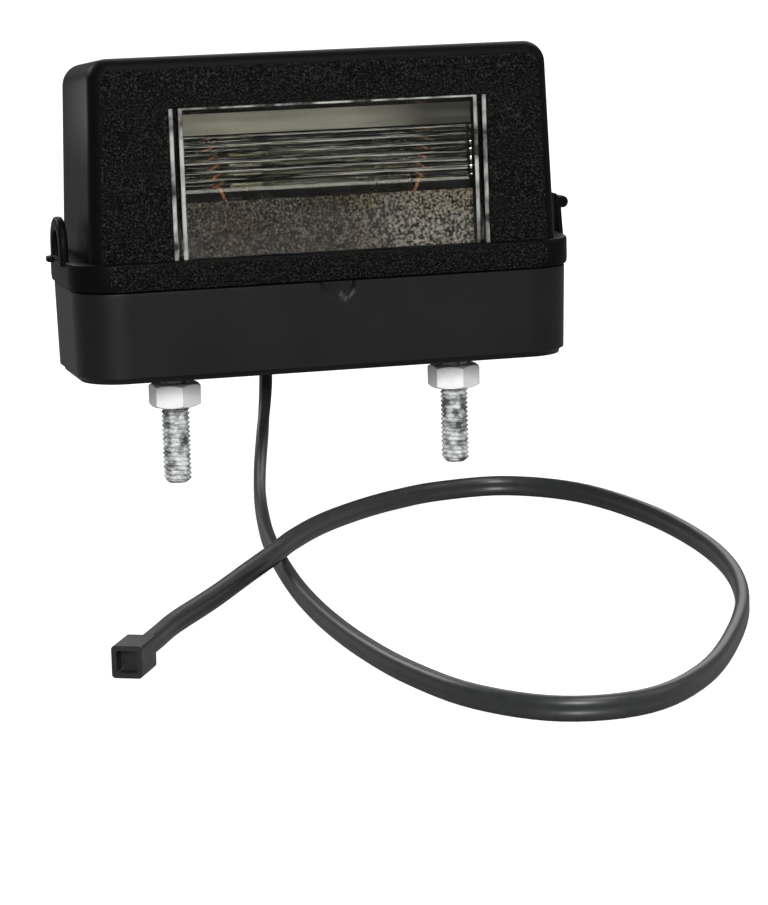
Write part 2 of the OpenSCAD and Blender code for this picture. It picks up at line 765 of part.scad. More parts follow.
module cable_grommet() {
  r = grommet_d / 2;
  neck = grommet_neck / 2;
  top = base_floor + 0.9;
  color("#151617")
  translate([cable_x, cable_y, 0])
    difference() {
      rotate_extrude($fn = fine)
        polygon([[0, 0], [r, 0], [r, flange_h - 0.05], [neck, flange_h - 0.05],
          [neck, base_floor + 0.05], [neck + 0.5, base_floor + 0.05], [neck + 0.3, top - 0.2],
          [neck, top], [0, top]]);
      translate([0, 0, -over]) linear_extrude(top + 2 * over) cable_section(0.03);
    }
}

// Inner end of the cable's sheath, from the grommet's outer face to the split.
module cable_lead_in() {
  color("#1b1c1d")
  translate([cable_x, cable_y, 0]) linear_extrude(lead_in_top) cable_section();
}

module cable() {
  color("#202122") oval_tube(curve(ROUTE, 2), cable_w, cable_t);
}

// Block on the cable's free end, open at its outer face.
module cable_end_cap() {
  tip = ROUTE[len(ROUTE) - 1];
  dir = tip - ROUTE[len(ROUTE) - 2];
  turn = atan2(dir[1], dir[0]);
  r = 0.5;
  color("#19191a")
  translate(tip) rotate([0, 0, turn])
    difference() {
      rotate([90, 0, 90]) linear_extrude(end_cap_len) block_face(end_cap_w, end_cap_h, r);
      translate([end_cap_len - 2, 0, 0])
        rotate([90, 0, 90]) linear_extrude(2 + over) block_face(end_cap_w - 1.4, end_cap_h - 1.4, 0.3);
    }
}

module block_face(w, h, r) {
  square([w - 2 * r, h], center = true);
  square([w, h - 2 * r], center = true);
  for (x = [-1, 1], y = [-1, 1])
    translate([x * (w / 2 - r), y * (h / 2 - r)]) circle(r, $fn = 24);
}

// Fixing bolt: its hexagonal head sits in the base, its shank sticks out.
module stud(side) {
  color("#9da1a4")
  translate([side * stud_pitch / 2, 0, 0]) {
    translate([0, 0, base_floor]) cylinder(r = hex_af / 2 / cos(30), h = head_h, $fn = 6);
    rotate_extrude($fn = fine)
      polygon([[0, -stud_out], [thread_r - 0.6, -stud_out], [thread_r, -stud_out + 0.6],
        [thread_r, -sheet_gap], [stud_r, -sheet_gap], [stud_r, 0], [collar_r, 0],
        [collar_r, base_floor + 0.2], [0, base_floor + 0.2]]);
  }
}

module stud_left() { stud(-1); }
module stud_right() { stud(1); }

// Hexagonal nut with chamfered faces, run up the stud.
module nut(side) {
  corner = hex_af / 2 / cos(30);
  color("#c9cccd")
  translate([side * stud_pitch / 2, 0, -sheet_gap - nut_h])
    difference() {
      intersection() {
        rotate([0, 0, nut_turn]) cylinder(r = corner, h = nut_h, $fn = 6);
        rotate_extrude($fn = fine)
          polygon([[0, 0], [hex_af / 2 - 0.1, 0], [corner + 0.1, 0.5], [corner + 0.1, nut_h - 0.5],
            [hex_af / 2 - 0.1, nut_h], [0, nut_h]]);
      }
      translate([0, 0, -over]) cylinder(r = thread_r + 0.02, h = nut_h + 2 * over, $fn = fine);
    }
}

module nut_left() { nut(-1); }
module nut_right() { nut(1); }

base_housing();
hood();
hood_seal();
lens();
bulb_glass();
bulb_cap_left();
bulb_cap_right();
bulb_filament();
contact_left();
contact_right();
terminal_left();
terminal_right();
rivet_left();
rivet_right();
core_wire_left();
core_wire_right();
cable_grommet();
cable_lead_in();
cable();
cable_end_cap();
stud_left();
stud_right();
nut_left();
nut_right();
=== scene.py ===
import bmesh
import bpy
import numpy as np
from mathutils import Matrix, Vector
from mathutils.geometry import tessellate_polygon


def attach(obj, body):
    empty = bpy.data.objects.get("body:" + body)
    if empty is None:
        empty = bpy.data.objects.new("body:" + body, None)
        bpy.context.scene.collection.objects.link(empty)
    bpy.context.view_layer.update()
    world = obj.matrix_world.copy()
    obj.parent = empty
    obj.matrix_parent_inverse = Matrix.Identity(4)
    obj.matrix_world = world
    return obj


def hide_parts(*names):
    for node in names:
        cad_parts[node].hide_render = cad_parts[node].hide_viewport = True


# A number plate lamp on a white sweep: black moulded base and hood, clear fluted lens, festoon
# bulb on copper springs, two zinc plated bolts with nuts, and a flat lead in a loose loop.
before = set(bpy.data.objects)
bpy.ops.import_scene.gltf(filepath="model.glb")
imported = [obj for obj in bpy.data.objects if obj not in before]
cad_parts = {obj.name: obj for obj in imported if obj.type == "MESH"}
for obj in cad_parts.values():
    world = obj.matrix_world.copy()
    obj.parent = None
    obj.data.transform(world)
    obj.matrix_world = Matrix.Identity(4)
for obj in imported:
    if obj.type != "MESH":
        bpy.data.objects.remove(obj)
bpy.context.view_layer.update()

# Camera
# A long lens a little above the lamp and left of its front, tilted by a degree and a half. Its
# place and focal length were fitted to where the lamp's edges lie in the picture.
AZIMUTH, ELEVATION, ROLL = np.radians((-15.27, 10.0, -1.56))
DISTANCE, ASIDE, LOWERED = 0.6115, 0.01154, 0.01657
FOCAL_PIXELS, PICTURE_PIXELS, SENSOR = 3507.6, 768, 36.0
toward = np.array((
    np.sin(AZIMUTH) * np.cos(ELEVATION), -np.cos(AZIMUTH) * np.cos(ELEVATION), np.sin(ELEVATION)
))
level = np.array((np.cos(AZIMUTH), np.sin(AZIMUTH), 0.0))
upright = np.cross(toward, level)
camera_axes = Matrix.Identity(4)
camera_axes.col[0][:3] = level * np.cos(ROLL) + upright * np.sin(ROLL)
camera_axes.col[1][:3] = upright * np.cos(ROLL) - level * np.sin(ROLL)
camera_axes.col[2][:3] = toward
camera_axes.col[3][:3] = toward * DISTANCE + level * ASIDE - np.array((0.0, 0.0, LOWERED))
photographer = bpy.data.objects.new("photographer", bpy.data.cameras.new("photographer"))
photographer.data.sensor_fit = "HORIZONTAL"
photographer.data.sensor_width = SENSOR
photographer.data.lens = FOCAL_PIXELS / PICTURE_PIXELS * SENSOR
photographer.matrix_world = camera_axes
bpy.context.scene.collection.objects.link(photographer)
bpy.context.scene.camera = photographer

# Lead
# Flat twin cable in soft black PVC. It drops out of the base, runs round one loose loop on
# the table, passes over itself in a long low hump and ends in a small moulded block.
MM = 0.001
# Heights of the table, of the lead's middle where it lies and where it passes over itself, and
# of the middle of its block.
TABLE = -19.5
LIE = TABLE + 1.65
OVER = LIE + 3.4
BLOCK_Z = TABLE + 2.2
LEAD_X, LEAD_Y = -6.8, 8.6
LEAD_ROUTE = np.array([
    (LEAD_X, LEAD_Y, 0), (LEAD_X, LEAD_Y, -1.5), (LEAD_X, LEAD_Y, -3), (-7.2, 7.6, -6),
    (-8.4, 4.4, -10), (-10.2, -1, -13.6), (-12.4, -8.5, -16.3),
    (-14.8, -18, LIE), (-17.6, -30, LIE), (-21, -46, LIE),
    (-24.4, -64, LIE), (-27.2, -84, LIE), (-29.2, -103, LIE),
    (-30.1, -121, LIE), (-29.8, -139, LIE), (-28, -156, LIE),
    (-23.8, -171.5, LIE), (-15.5, -181.5, LIE), (-4, -181.5, LIE),
    (7.5, -170.5, LIE), (18.5, -152, LIE), (27.6, -132, LIE),
    (33.8, -111, LIE), (36.8, -89, LIE), (36.6, -66, LIE),
    (32.4, -45.5, LIE), (23.2, -35, LIE), (11.6, -35.2, LIE),
    (2, -43, LIE + 0.7), (-7, -53.6, LIE + 1.6), (-17, -68.4, LIE + 2.8),
    (-25, -81.8, OVER), (-29.8, -90.4, OVER), (-36, -98.8, OVER - 0.8),
    (-43, -107.6, LIE + 1.4), (-50.8, -117.6, BLOCK_Z), (-54.8, -125.2, BLOCK_Z),
    (-58.8, -132.8, BLOCK_Z),
])


def smooth_path(points, steps):
    """Catmull-Rom curve through the points. Between b and c, with a before and d after, a point
    is half of 2b + (c - a) t + (2a - 5b + 4c - d) t^2 + (3b - a - 3c + d) t^3."""
    held = np.vstack([points[:1], points, points[-1:]])
    a, b, c, d = (held[k:len(held) - 3 + k, None, :] for k in range(4))
    t = (np.arange(steps) / steps)[None, :, None]
    bent = (2 * b + (c - a) * t + (2 * a - 5 * b + 4 * c - d) * t**2
            + (3 * b - a - 3 * c + d) * t**3) / 2
    return np.vstack([bent.reshape(-1, 3), points[-1:]])


def unit(vectors):
    """Each vector divided by its length."""
    return vectors / np.linalg.norm(vectors, axis=-1, keepdims=True)


def mesh_piece(name, points, faces, smooth_below=40):
    """A piece riding on the lamp, from points in millimetres. Doubles are merged, faces turned
    outwards, and edges under the given angle shaded smooth."""
    mesh = bpy.data.meshes.new(name)
    mesh.from_pydata((np.asarray(points, float).reshape(-1, 3) * MM).tolist(), [],
                     [list(map(int, f)) for f in faces])
    work = bmesh.new()
    work.from_mesh(mesh)
    bmesh.ops.remove_doubles(work, verts=work.verts, dist=1e-7)
    bmesh.ops.recalc_face_normals(work, faces=work.faces)
    work.to_mesh(mesh)
    work.free()
    mesh.shade_smooth()
    mesh.set_sharp_from_angle(angle=np.radians(smooth_below))
    piece = bpy.data.objects.new(name, mesh)
    bpy.context.scene.collection.objects.link(piece)
    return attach(piece, "root")


def grid_faces(rows, columns, along=False):
    """Quads of a grid numbered row by row, with its last column joined to its first, and with
    along its last row to its first."""
    number = np.arange(rows * columns).reshape(rows, columns)
    near, far = (number, np.roll(number, -1, 0)) if along else (number[:-1], number[1:])
    quads = (near, np.roll(near, -1, 1), np.roll(far, -1, 1), far)
    return np.stack(quads, axis=-1).reshape(-1, 4)


def tube_faces(rows, columns):
    """The quads of a grid, and a flat face over its first row and over its last."""
    return [*grid_faces(rows, columns), range(columns), range((rows - 1) * columns, rows * columns)]


def linear(code):
    """sRGB hex to linear light: c / 12.92 up to 0.04045, above it ((c + 0.055) / 1.055)^2.4."""
    c = np.array([int(code[k:k + 2], 16) for k in (0, 2, 4)]) / 255
    return (*np.where(c <= 0.04045, c / 12.92, ((c + 0.055) / 1.055) ** 2.4), 1.0)


def add(owner, kind, inputs=(), stops=(), **settings):
    """One shader node with its settings, in a material or the world. Each input is a constant or
    another node's output, and each stop of a colour ramp is a position and an sRGB colour."""
    node = owner.node_tree.nodes.new("ShaderNode" + kind)
    for key, value in settings.items():
        setattr(node, key, value)
    for k, (position, code) in enumerate(stops):
        node.color_ramp.elements[k].position = position
        node.color_ramp.elements[k].color = linear(code)
    for key, value in dict(inputs).items():
        if isinstance(value, bpy.types.NodeSocket):
            owner.node_tree.links.new(value, node.inputs[key])
        else:
            node.inputs[key].default_value = value
    return node


def new_material(name):
    """An empty node material."""
    material = bpy.data.materials.new(name)
    material.use_nodes = True
    material.node_tree.nodes.clear()
    return material


def clouded(name, scale, detail, tone, gloss, surface, relief=(), fine=()):
    """A finish that drifts with a noise on the piece's own place. Its tone is one colour, or the
    stops of a ramp that the noise runs along; its gloss is one roughness, or a range that it
    runs over. Relief is a bump's strength and depth, on that noise or on a finer one."""
    material = new_material(name)
    place = add(material, "TexCoord").outputs["Object"]
    coarse = {"Vector": place, "Scale": scale, "Detail": detail}
    cloud = add(material, "TexNoise", coarse).outputs["Fac"]
    skin = dict(surface)
    if isinstance(tone, str):
        skin["Base Color"] = linear(tone)
    else:
        skin["Base Color"] = add(material, "ValToRGB", {"Fac": cloud}, tone).outputs["Color"]
    if isinstance(gloss, float):
        skin["Roughness"] = gloss
    else:
        gloss_range = {"Value": cloud, "To Min": gloss[0], "To Max": gloss[1]}
        skin["Roughness"] = add(material, "MapRange", gloss_range).outputs["Result"]
    if fine:
        finer = {"Vector": place, "Scale": fine[0], "Detail": fine[1]}
        cloud = add(material, "TexNoise", finer).outputs["Fac"]
    if relief:
        bumps = {"Height": cloud, "Strength": relief[0], "Distance": relief[1]}
        skin["Normal"] = add(material, "Bump", bumps).outputs["Normal"]
    shader = add(material, "BsdfPrincipled", skin)
    add(material, "OutputMaterial", {"Surface": shader.outputs["BSDF"]})
    return material


# Soft PVC sheath: black, satin, with shallow waves left by the extruder 2 mm apart.
pvc_sheath = clouded("extruded_soft_pvc", 480.0, 2.0, [(0, "1c1d1d"), (1, "2c2d2d")], 0.4,
                     {"IOR": 1.53, "Specular IOR Level": 0.4}, relief=(0.25, 0.0001))

lead_line = smooth_path(LEAD_ROUTE, 6)
lead_heading = unit(np.vstack([
    lead_line[1:2] - lead_line[:1], lead_line[2:] - lead_line[:-2],
    lead_line[-1:] - lead_line[-2:-1],
]))
# Along the table it stands on its narrow edge; where it hangs, its width runs from front to back.
hanging = np.clip((np.abs(lead_heading[:, 2:]) - 0.5) * 2, 0, 1)
lying_side, hanging_side = np.cross(lead_heading, (0, 0, 1)), np.cross(lead_heading, (0, -1, 0))
lead_across = unit((1 - hanging) * lying_side + hanging * hanging_side)
lead_rise = np.cross(lead_across, lead_heading)
# Section of the sheath by angle: the outer one of two circles of radius 1 mm, set off to either
# side of the middle, and of a flat web between them.
CORE_OFF, WEB_HALF, LEAD_COLUMNS = 0.65, 0.9, 40
angle = np.linspace(0, 2 * np.pi, LEAD_COLUMNS, endpoint=False)
two_cores = CORE_OFF * np.abs(np.sin(angle)) + np.sqrt(1 - (CORE_OFF * np.cos(angle)) ** 2)
web = np.where(np.abs(np.tan(angle)) < 0.7, WEB_HALF / np.abs(np.cos(angle)), 0)
reach = np.maximum(two_cores, web)
lead_points = (lead_line[:, None, :]
               + lead_across[:, None, :] * (reach * np.cos(angle))[None, :, None]
               + lead_rise[:, None, :] * (reach * np.sin(angle))[None, :, None])
lead = mesh_piece("lead_sheath", lead_points, tube_faces(len(lead_line), LEAD_COLUMNS), 60)
lead.data.materials.append(pvc_sheath)
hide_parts("cable")

# Moulded nylon block pushed on the lead's end, open at its outer face: black, with a gloss that
# varies a little. The CAD solid has its shape.
block_plastic = clouded("moulded_nylon_block", 900.0, 3.0, "0b0c0c", (0.3, 0.5), {"IOR": 1.53},
                        relief=(0.2, 0.0001))
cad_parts["cable_end_cap"].data.materials.clear()
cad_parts["cable_end_cap"].data.materials.append(block_plastic)

# Sweep and light
# A white table that the stud tips and the lead rest on. It shines by itself for the camera, as
# an overexposed table does, so its shadows stay faint, and it lights the lamp only dimly.
SWEEP_HALF, SWEEP_BELOW = 3.0, 0.05
# Matt white paper, grey as a source of light, with fibres too faint to see.
sweep_paper = new_material("white_sweep_paper")
sweep_place = add(sweep_paper, "TexCoord")
sweep_fibre = add(sweep_paper, "TexNoise", {"Vector": sweep_place.outputs["Object"], "Scale": 60.0})
sweep_tone = add(sweep_paper, "ValToRGB", {
    "Fac": sweep_fibre.outputs["Fac"],
}, [(0, "8f8f8f"), (1, "979797")])
sweep_seen = add(sweep_paper, "LightPath")
sweep_glow = add(sweep_paper, "MapRange", {
    "Value": sweep_seen.outputs["Is Camera Ray"], "To Min": 0.0, "To Max": 0.96,
})
sweep_paper_skin = add(sweep_paper, "BsdfPrincipled", {
    "Base Color": sweep_tone.outputs["Color"], "Roughness": 0.9, "Specular IOR Level": 0.1,
    "Emission Color": linear("ffffff"), "Emission Strength": sweep_glow.outputs["Result"],
})
add(sweep_paper, "OutputMaterial", {"Surface": sweep_paper_skin.outputs["BSDF"]})
sweep_mesh = bpy.data.meshes.new("sweep")
sweep_corners = np.array([(-1, -1, 0), (1, -1, 0), (1, 1, 0), (-1, 1, 0)]) * SWEEP_HALF
sweep_corners[:, 2] = (TABLE - SWEEP_BELOW) * MM
sweep_mesh.from_pydata(sweep_corners.tolist(), [], [(0, 1, 2, 3)])
sweep = bpy.data.objects.new("sweep", sweep_mesh)
sweep.data.materials.append(sweep_paper)
bpy.context.scene.collection.objects.link(sweep)


def soft_panel(name, place, aim, size, power):
    """A square area light at place, turned to aim, both in metres."""
    lamp = bpy.data.lights.new(name, "AREA")
    lamp.shape, lamp.size, lamp.energy = "SQUARE", size, power
    panel = bpy.data.objects.new(name, lamp)
    away = unit(np.array(place, float) - np.array(aim, float))
    side = unit(np.cross((0, 0, 1) if abs(away[2]) < 0.99 else (0, 1, 0), away))
    axes = Matrix.Identity(4)
    axes.col[0][:3], axes.col[1][:3], axes.col[2][:3] = side, np.cross(away, side), away
    axes.col[3][:3] = place
    panel.matrix_world = axes
    bpy.context.scene.collection.objects.link(panel)


soft_panel("key_panel", (-0.3, -1.15, 0.42), (0.0, 0.0, 0.03), 0.35, 15.0)
soft_panel("overhead_panel", (0.1, -0.5, 0.9), (0.0, -0.1, 0.0), 0.5, 5.0)
soft_panel("back_panel", (-0.35, 0.5, 0.35), (-0.1, 0.28, 0.0), 0.25, 1.6)
soft_panel("rear_panel", (0.5, 1.2, 0.9), (0.0, 0.0, 0.02), 1.2, 9.0)
soft_panel("right_panel", (1.1, -0.3, 0.6), (0.0, 0.0, 0.02), 0.8, 2.5)
# A small panel close behind the left end wall lights its rear part.
soft_panel("end_panel", (-0.062, 0.032, 0.045), (-0.042, 0.01, 0.036), 0.016, 0.0026)
# The room is white for the camera and dim as a source of light, as the table is.
world = bpy.data.worlds.new("white_room")
world.use_nodes = True
world.node_tree.nodes.clear()
seen = add(world, "LightPath")
brightness = add(world, "MapRange", {
    "Value": seen.outputs["Is Camera Ray"], "To Min": 0.22, "To Max": 1.3,
})
room = add(world, "Background", {"Strength": brightness.outputs["Result"]})
add(world, "OutputWorld", {"Surface": room.outputs["Background"]})
bpy.context.scene.world = world
bpy.context.scene.view_settings.view_transform = "Standard"

# Base
# Black nylon tub with drafted walls, moulded in one piece: a rounded edge round the back face, a
# shoulder that the skirt sits over, a lip inside it, and a half-round pry recess in front.
BASE_W, BASE_D, BASE_H = 86.8, 30.8, 15.4
MIDDLE_Y, CORNER_R, DRAFT, LIP_TOP = 1.4, 8.0, 0.4, 18.0
WINDOW_X, PRY_R, PRY_DEPTH, PRY_EDGE = 0.9, 2.9, 0.8, 0.35
FLOOR, STUD_X, HOLE_R, BOSS_R, BOSS_TOP, POCKET_FLATS = 2.4, 25.0, 2.85, 6.4, 5.9, 8.3
RIVET_X, RIVET_HOLE_R, POST_HALF, POST_TOP, BULB_Y = 10.0, 1.25, 4.0, 10.0, 0.5
GROMMET_HOLE_R, GROMMET_STEP = 3.7, 1.0


def rounded_outline(inset, straight):
    """Plan of the base at an inset: four straight runs and four quarter circles, each with a
    fixed count of points, so that two insets line up point by point. The short sides take
    every third point."""
    r = max(CORNER_R - inset, 0.6)
    half_x, half_y = BASE_W / 2 - inset - r, BASE_D / 2 - inset - r
    a = np.linspace(0, np.pi / 2, 10)
    corners = []
    for k, (x, y) in enumerate(((1, -1), (1, 1), (-1, 1), (-1, -1))):
        turn = a + (k - 1) * np.pi / 2
        corners.append(np.stack((x * half_x + r * np.cos(turn), y * half_y + r * np.sin(turn)), -1))
    runs = []
    t = np.linspace(0, 1, straight + 2)[1:-1, None]
    for k in range(4):
        start, end = corners[k - 1][-1], corners[k][0]
        runs += [start + (end - start) * (t if k in (0, 2) else t[::3]), corners[k]]
    return np.vstack(runs) + (0, MIDDLE_Y)


def carried_round(profile, straight):
    """The profile, as pairs of inset and height, carried round the outline of the base."""
    plans = np.stack([rounded_outline(inset, straight) for inset, _ in profile])
    heights = np.broadcast_to([[[z]] for _, z in profile], (*plans.shape[:2], 1))
    return np.concatenate([plans, heights], -1)


def quarter(inset_a, z_a, inset_b, z_b):
    """A quarter ellipse between two profile points that leaves the first one upright: by an
    angle a, the inset moves on as 1 - cos a and the height as sin a."""
    a = np.linspace(0, np.pi / 2, 6)
    return list(zip(inset_a + (inset_b - inset_a) * (1 - np.cos(a)), z_a + (z_b - z_a) * np.sin(a)))


def level_face(loops):
    """A level face with holes: the first loop is its edge and the rest are its holes. Returns
    the loops' points in a row and the triangles between them."""
    corners = [list(map(Vector, loop.tolist())) for loop in loops]
    return np.vstack(loops), tessellate_polygon(corners)


def joined(*surfaces):
    """Several surfaces, each points and faces, as one: the faces of each are counted on from
    the points before it."""
    points = [np.reshape(p, (-1, 3)) for p, _ in surfaces]
    starts = np.cumsum([0] + [len(p) for p in points])
    faces = [[k + start for k in face] for (_, f), start in zip(surfaces, starts) for face in f]
    return np.vstack(points), faces


# Directions round an upright line.
way = np.linspace(0, 2 * np.pi, 48, endpoint=False)


def upright_rings(x, y, rows, around=way):
    """Rings about the upright line through x and y. Each row is a radius, or one for each
    direction, and a height."""
    radii = np.stack([np.broadcast_to(r, len(around)) for r, _ in rows])
    heights = np.broadcast_to([[z] for _, z in rows], radii.shape)
    return np.stack([x + radii * np.cos(around), y + radii * np.sin(around), heights], -1)


def hexagon(a, flats, turned=np.pi / 6):
    """Radius of a hexagon by angle: half its flats over the cosine of the angle from the
    middle of the nearest flat."""
    return flats / 2 / np.cos((a - turned + np.pi / 6) % (np.pi / 3) - np.pi / 6)


# Black nylon of the base: a little greyer than the hood, smooth, with faint flow clouds.
nylon_satin = clouded("moulded_black_nylon", 60.0, 4.0, [(0, "0b0c0c"), (1, "151616")], (0.38, 0.5),
                      {"IOR": 1.5, "Specular IOR Level": 0.2},
                      relief=(0.15, 0.0001), fine=(2400.0, 2.0))

# Half section of the tub as pairs of inset and height: round the back edge, up the drafted
# wall, over the shoulder, up the lip, over its top and down its inside to the floor.
wall = [(DRAFT * (1 - z / BASE_H), z) for z in np.linspace(1.0, BASE_H - 0.25, 24)]
profile = [*quarter(1.2, 0.0, wall[0][0], 1.0)[:-1], *wall,
           *quarter(0.0, BASE_H - 0.2, 0.25, BASE_H)[1:], (1.2, BASE_H),
           (1.2, LIP_TOP - 0.2), (1.35, LIP_TOP), (2.25, LIP_TOP), (2.4, LIP_TOP - 0.2),
           (2.4, 16.0), (2.9, FLOOR + 0.2), (3.1, FLOOR)]
tub = carried_round(profile, 150)
# Pry recess: front wall points within its radius of the seam's middle move back by its depth.
from_pry = np.hypot(tub[..., 0] - WINDOW_X, tub[..., 2] - BASE_H)
on_front = (tub[..., 1] < MIDDLE_Y - BASE_D / 2 + 1.15) & (tub[..., 2] > 1.0)
tub[..., 1] += PRY_DEPTH * np.clip((PRY_R - from_pry) / PRY_EDGE + 0.5, 0, 1) * on_front
# Floor: two stud holes under six-sided pockets in round bosses, the grommet's stepped hole, and
# two square posts with blind holes for the rivets. Rows are radii and heights.
pocket = hexagon(way, POCKET_FLATS)
square = 1 / np.maximum(np.abs(np.cos(way)), np.abs(np.sin(way)))
boss = [(BOSS_R, FLOOR), (BOSS_R, BOSS_TOP - 0.2), (BOSS_R - 0.15, BOSS_TOP), (pocket, BOSS_TOP),
        (pocket, FLOOR), (HOLE_R, FLOOR), (HOLE_R, 0)]
post = [(POST_HALF * square, FLOOR), (POST_HALF * square, POST_TOP - 0.2), (3.8 * square, POST_TOP),
        (RIVET_HOLE_R, POST_TOP), (RIVET_HOLE_R, 4.6), (0, 4.6)]
step = [(HOLE_R, FLOOR), (HOLE_R, GROMMET_STEP),
        (GROMMET_HOLE_R, GROMMET_STEP), (GROMMET_HOLE_R, 0)]
through = [upright_rings(side * STUD_X, 0, boss) for side in (-1, 1)]
through.append(upright_rings(LEAD_X, LEAD_Y, step))
posts = [upright_rings(WINDOW_X + side * RIVET_X, BULB_Y, post) for side in (-1, 1)]
base_tub = mesh_piece("base_tub", *joined(
    (tub, grid_faces(*tub.shape[:2])), level_face([tub[0], *[rings[-1] for rings in through]]),
    level_face([tub[-1], *[rings[0] for rings in through + posts]]),
    *[(rings, grid_faces(*rings.shape[:2])) for rings in through + posts],
), 35)
base_tub.data.materials.append(nylon_satin)
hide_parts("base_housing")

# Hood skirt
# Foot of the hood, moulded with it in black ABS: a collar that overhangs the seam, rounded along
# the ledge on its top. Its front carries the same spark grain as the window face.

# Black ABS from a plain satin tool: deep black, smooth, with faint flow clouds.
abs_satin = clouded("moulded_black_abs", 45.0, 4.0, [(0, "050505"), (1, "0c0c0c")], (0.34, 0.46),
                    {"IOR": 1.45, "Specular IOR Level": 0.05},
                    relief=(0.12, 0.0001), fine=(2600.0, 2.0))
# Spark grain of 0.2 mm is drawn 0.4 mm wide, which is the finest that shows. Its tips are
# painted a little lighter, as painted glints.
grain_abs = new_material("spark_grained_black_abs")
grain_place = add(grain_abs, "TexCoord")
grain_cells = add(grain_abs, "TexNoise", {
    "Vector": grain_place.outputs["Object"], "Scale": 2700.0, "Detail": 3.0, "Roughness": 0.7,
})
grain_pits = add(grain_abs, "TexVoronoi", {
    "Vector": grain_place.outputs["Object"], "Scale": 3000.0,
})
grain_mix = add(grain_abs, "Math", {
    0: grain_cells.outputs["Fac"], 1: grain_pits.outputs["Distance"],
}, operation="SUBTRACT")
grain_relief = add(grain_abs, "Bump", {
    "Height": grain_mix.outputs[0], "Strength": 1.0, "Distance": 0.0002,
})
# Painted glints: the high tips of the grain are painted lighter than the rest.
grain_painted_glint_tone = add(grain_abs, "ValToRGB", {
    "Fac": grain_cells.outputs["Fac"],
}, [(0.5, "020202"), (0.72, "333333")])
grain_abs_skin = add(grain_abs, "BsdfPrincipled", {
    "Base Color": grain_painted_glint_tone.outputs["Color"], "Roughness": 0.3, "IOR": 1.5,
    "Specular IOR Level": 0.05, "Normal": grain_relief.outputs["Normal"],
})
add(grain_abs, "OutputMaterial", {"Surface": grain_abs_skin.outputs["BSDF"]})


def face_table(piece):
    """Middles of a piece's faces in millimetres and their normals, as arrays."""
    faces = piece.data.polygons
    middles, normals = np.empty((2, len(faces) * 3))
    faces.foreach_get("center", middles)
    faces.foreach_get("normal", normals)
    return middles.reshape(-1, 3) / MM, normals.reshape(-1, 3)


def lay_finishes(piece, finishes, number):
    """Gives a piece its materials, and each face the number of its own."""
    for finish in finishes:
        piece.data.materials.append(finish)
    piece.data.polygons.foreach_set("material_index", np.asarray(number, np.int32))


SKIRT_FOOT, LEDGE_Z = 15.7, 20.3
skirt_profile = [
    (1.0, 19.1), (1.0, SKIRT_FOOT), (-0.35, SKIRT_FOOT), (-0.4, SKIRT_FOOT + 0.05),
    (-0.5, SKIRT_FOOT + 0.9), (-0.5, 17.5), (-0.5, 18.8),
    *quarter(-0.5, LEDGE_Z - 0.5, 0.0, LEDGE_Z), (1.0, LEDGE_Z), (2.6, LEDGE_Z), (2.6, 19.1),
]
skirt_points = carried_round(skirt_profile, 60)
skirt_faces = grid_faces(*skirt_points.shape[:2], along=True)
hood_skirt = mesh_piece("hood_skirt", skirt_points, skirt_faces, 35)
# Grain lies on the collar's front, where its faces look forward to within 16 degrees.
middles, normals = face_table(hood_skirt)
lay_finishes(hood_skirt, (abs_satin, grain_abs), (normals[:, 1] < -0.96) & (middles[:, 1] < -12.5))
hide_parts("hood")

# Hood
# Cover in black ABS: a flat window face that leans back 2 degrees, end walls that lean in, and
# a roof that falls to the back. The face is grained, the rest is smooth.
FACE_LEAN, SIDE_LEAN, BACK_LEAN, ROOF_FALL = np.radians((2.0, 1.6, 1.1, 4.0))
HOOD_HALF, HOOD_FRONT, HOOD_BACK, HOOD_TOP = 40.8, -12.4, 15.9, 54.1
HOOD_WALL, ROOF_R, FACE_R = 1.8, 3.7, 3.0
WINDOW_W, WINDOW_H = 55.5, 25.4
# Counts of points along a ring's foot, side, round corner and roof; places of the face's rings
# between the window's edge and the face's; and the count of rings round an edge.
FOOT_N, SIDE_N, BEND_N, ROOF_N = 40, 24, 10, 40
FACE_STEPS, EDGE_N = (0.0, 0.06, 0.3, 0.6, 0.9, 1.0), 13


def face_y(z):
    """Window face: it leans back, so y grows with height by the tangent of the lean."""
    return HOOD_FRONT + (z - LEDGE_Z) * np.tan(FACE_LEAN)


def back_y(z):
    """Back wall: it leans forward, so y falls with height by the tangent of the lean."""
    return HOOD_BACK - (z - LEDGE_Z) * np.tan(BACK_LEAN)


def arch(inset, top, foot):
    """Hood seen from the front as a closed loop of x and z: right wall, round corner, roof,
    round corner, left wall and foot, with a fixed count of points on each."""
    r = max(ROOF_R - inset, 0.5)

    def half(z):
        """Half of the hood's width, less by the tangent of the lean as the height grows."""
        return HOOD_HALF - inset - (z - LEDGE_Z) * np.tan(SIDE_LEAN)

    top_z = top - inset
    bend = np.linspace(0, np.pi / 2, BEND_N)
    corner_x, corner_z = half(top_z - r) - r, top_z - r
    side_z = np.linspace(foot, corner_z, SIDE_N, endpoint=False)
    right = np.vstack([
        np.column_stack([half(side_z), side_z]),
        np.column_stack([corner_x + r * np.cos(bend), corner_z + r * np.sin(bend)]),
    ])
    left = right[::-1] * (-1, 1)
    roof_x = np.linspace(corner_x, -corner_x, ROOF_N + 2)[1:-1]
    foot_x = np.linspace(-half(foot), half(foot), FOOT_N + 2)[1:-1]
    return np.vstack([right, np.column_stack([roof_x, np.full(ROOF_N, top_z)]),
                      left, np.column_stack([foot_x, np.full(FOOT_N, foot)])])


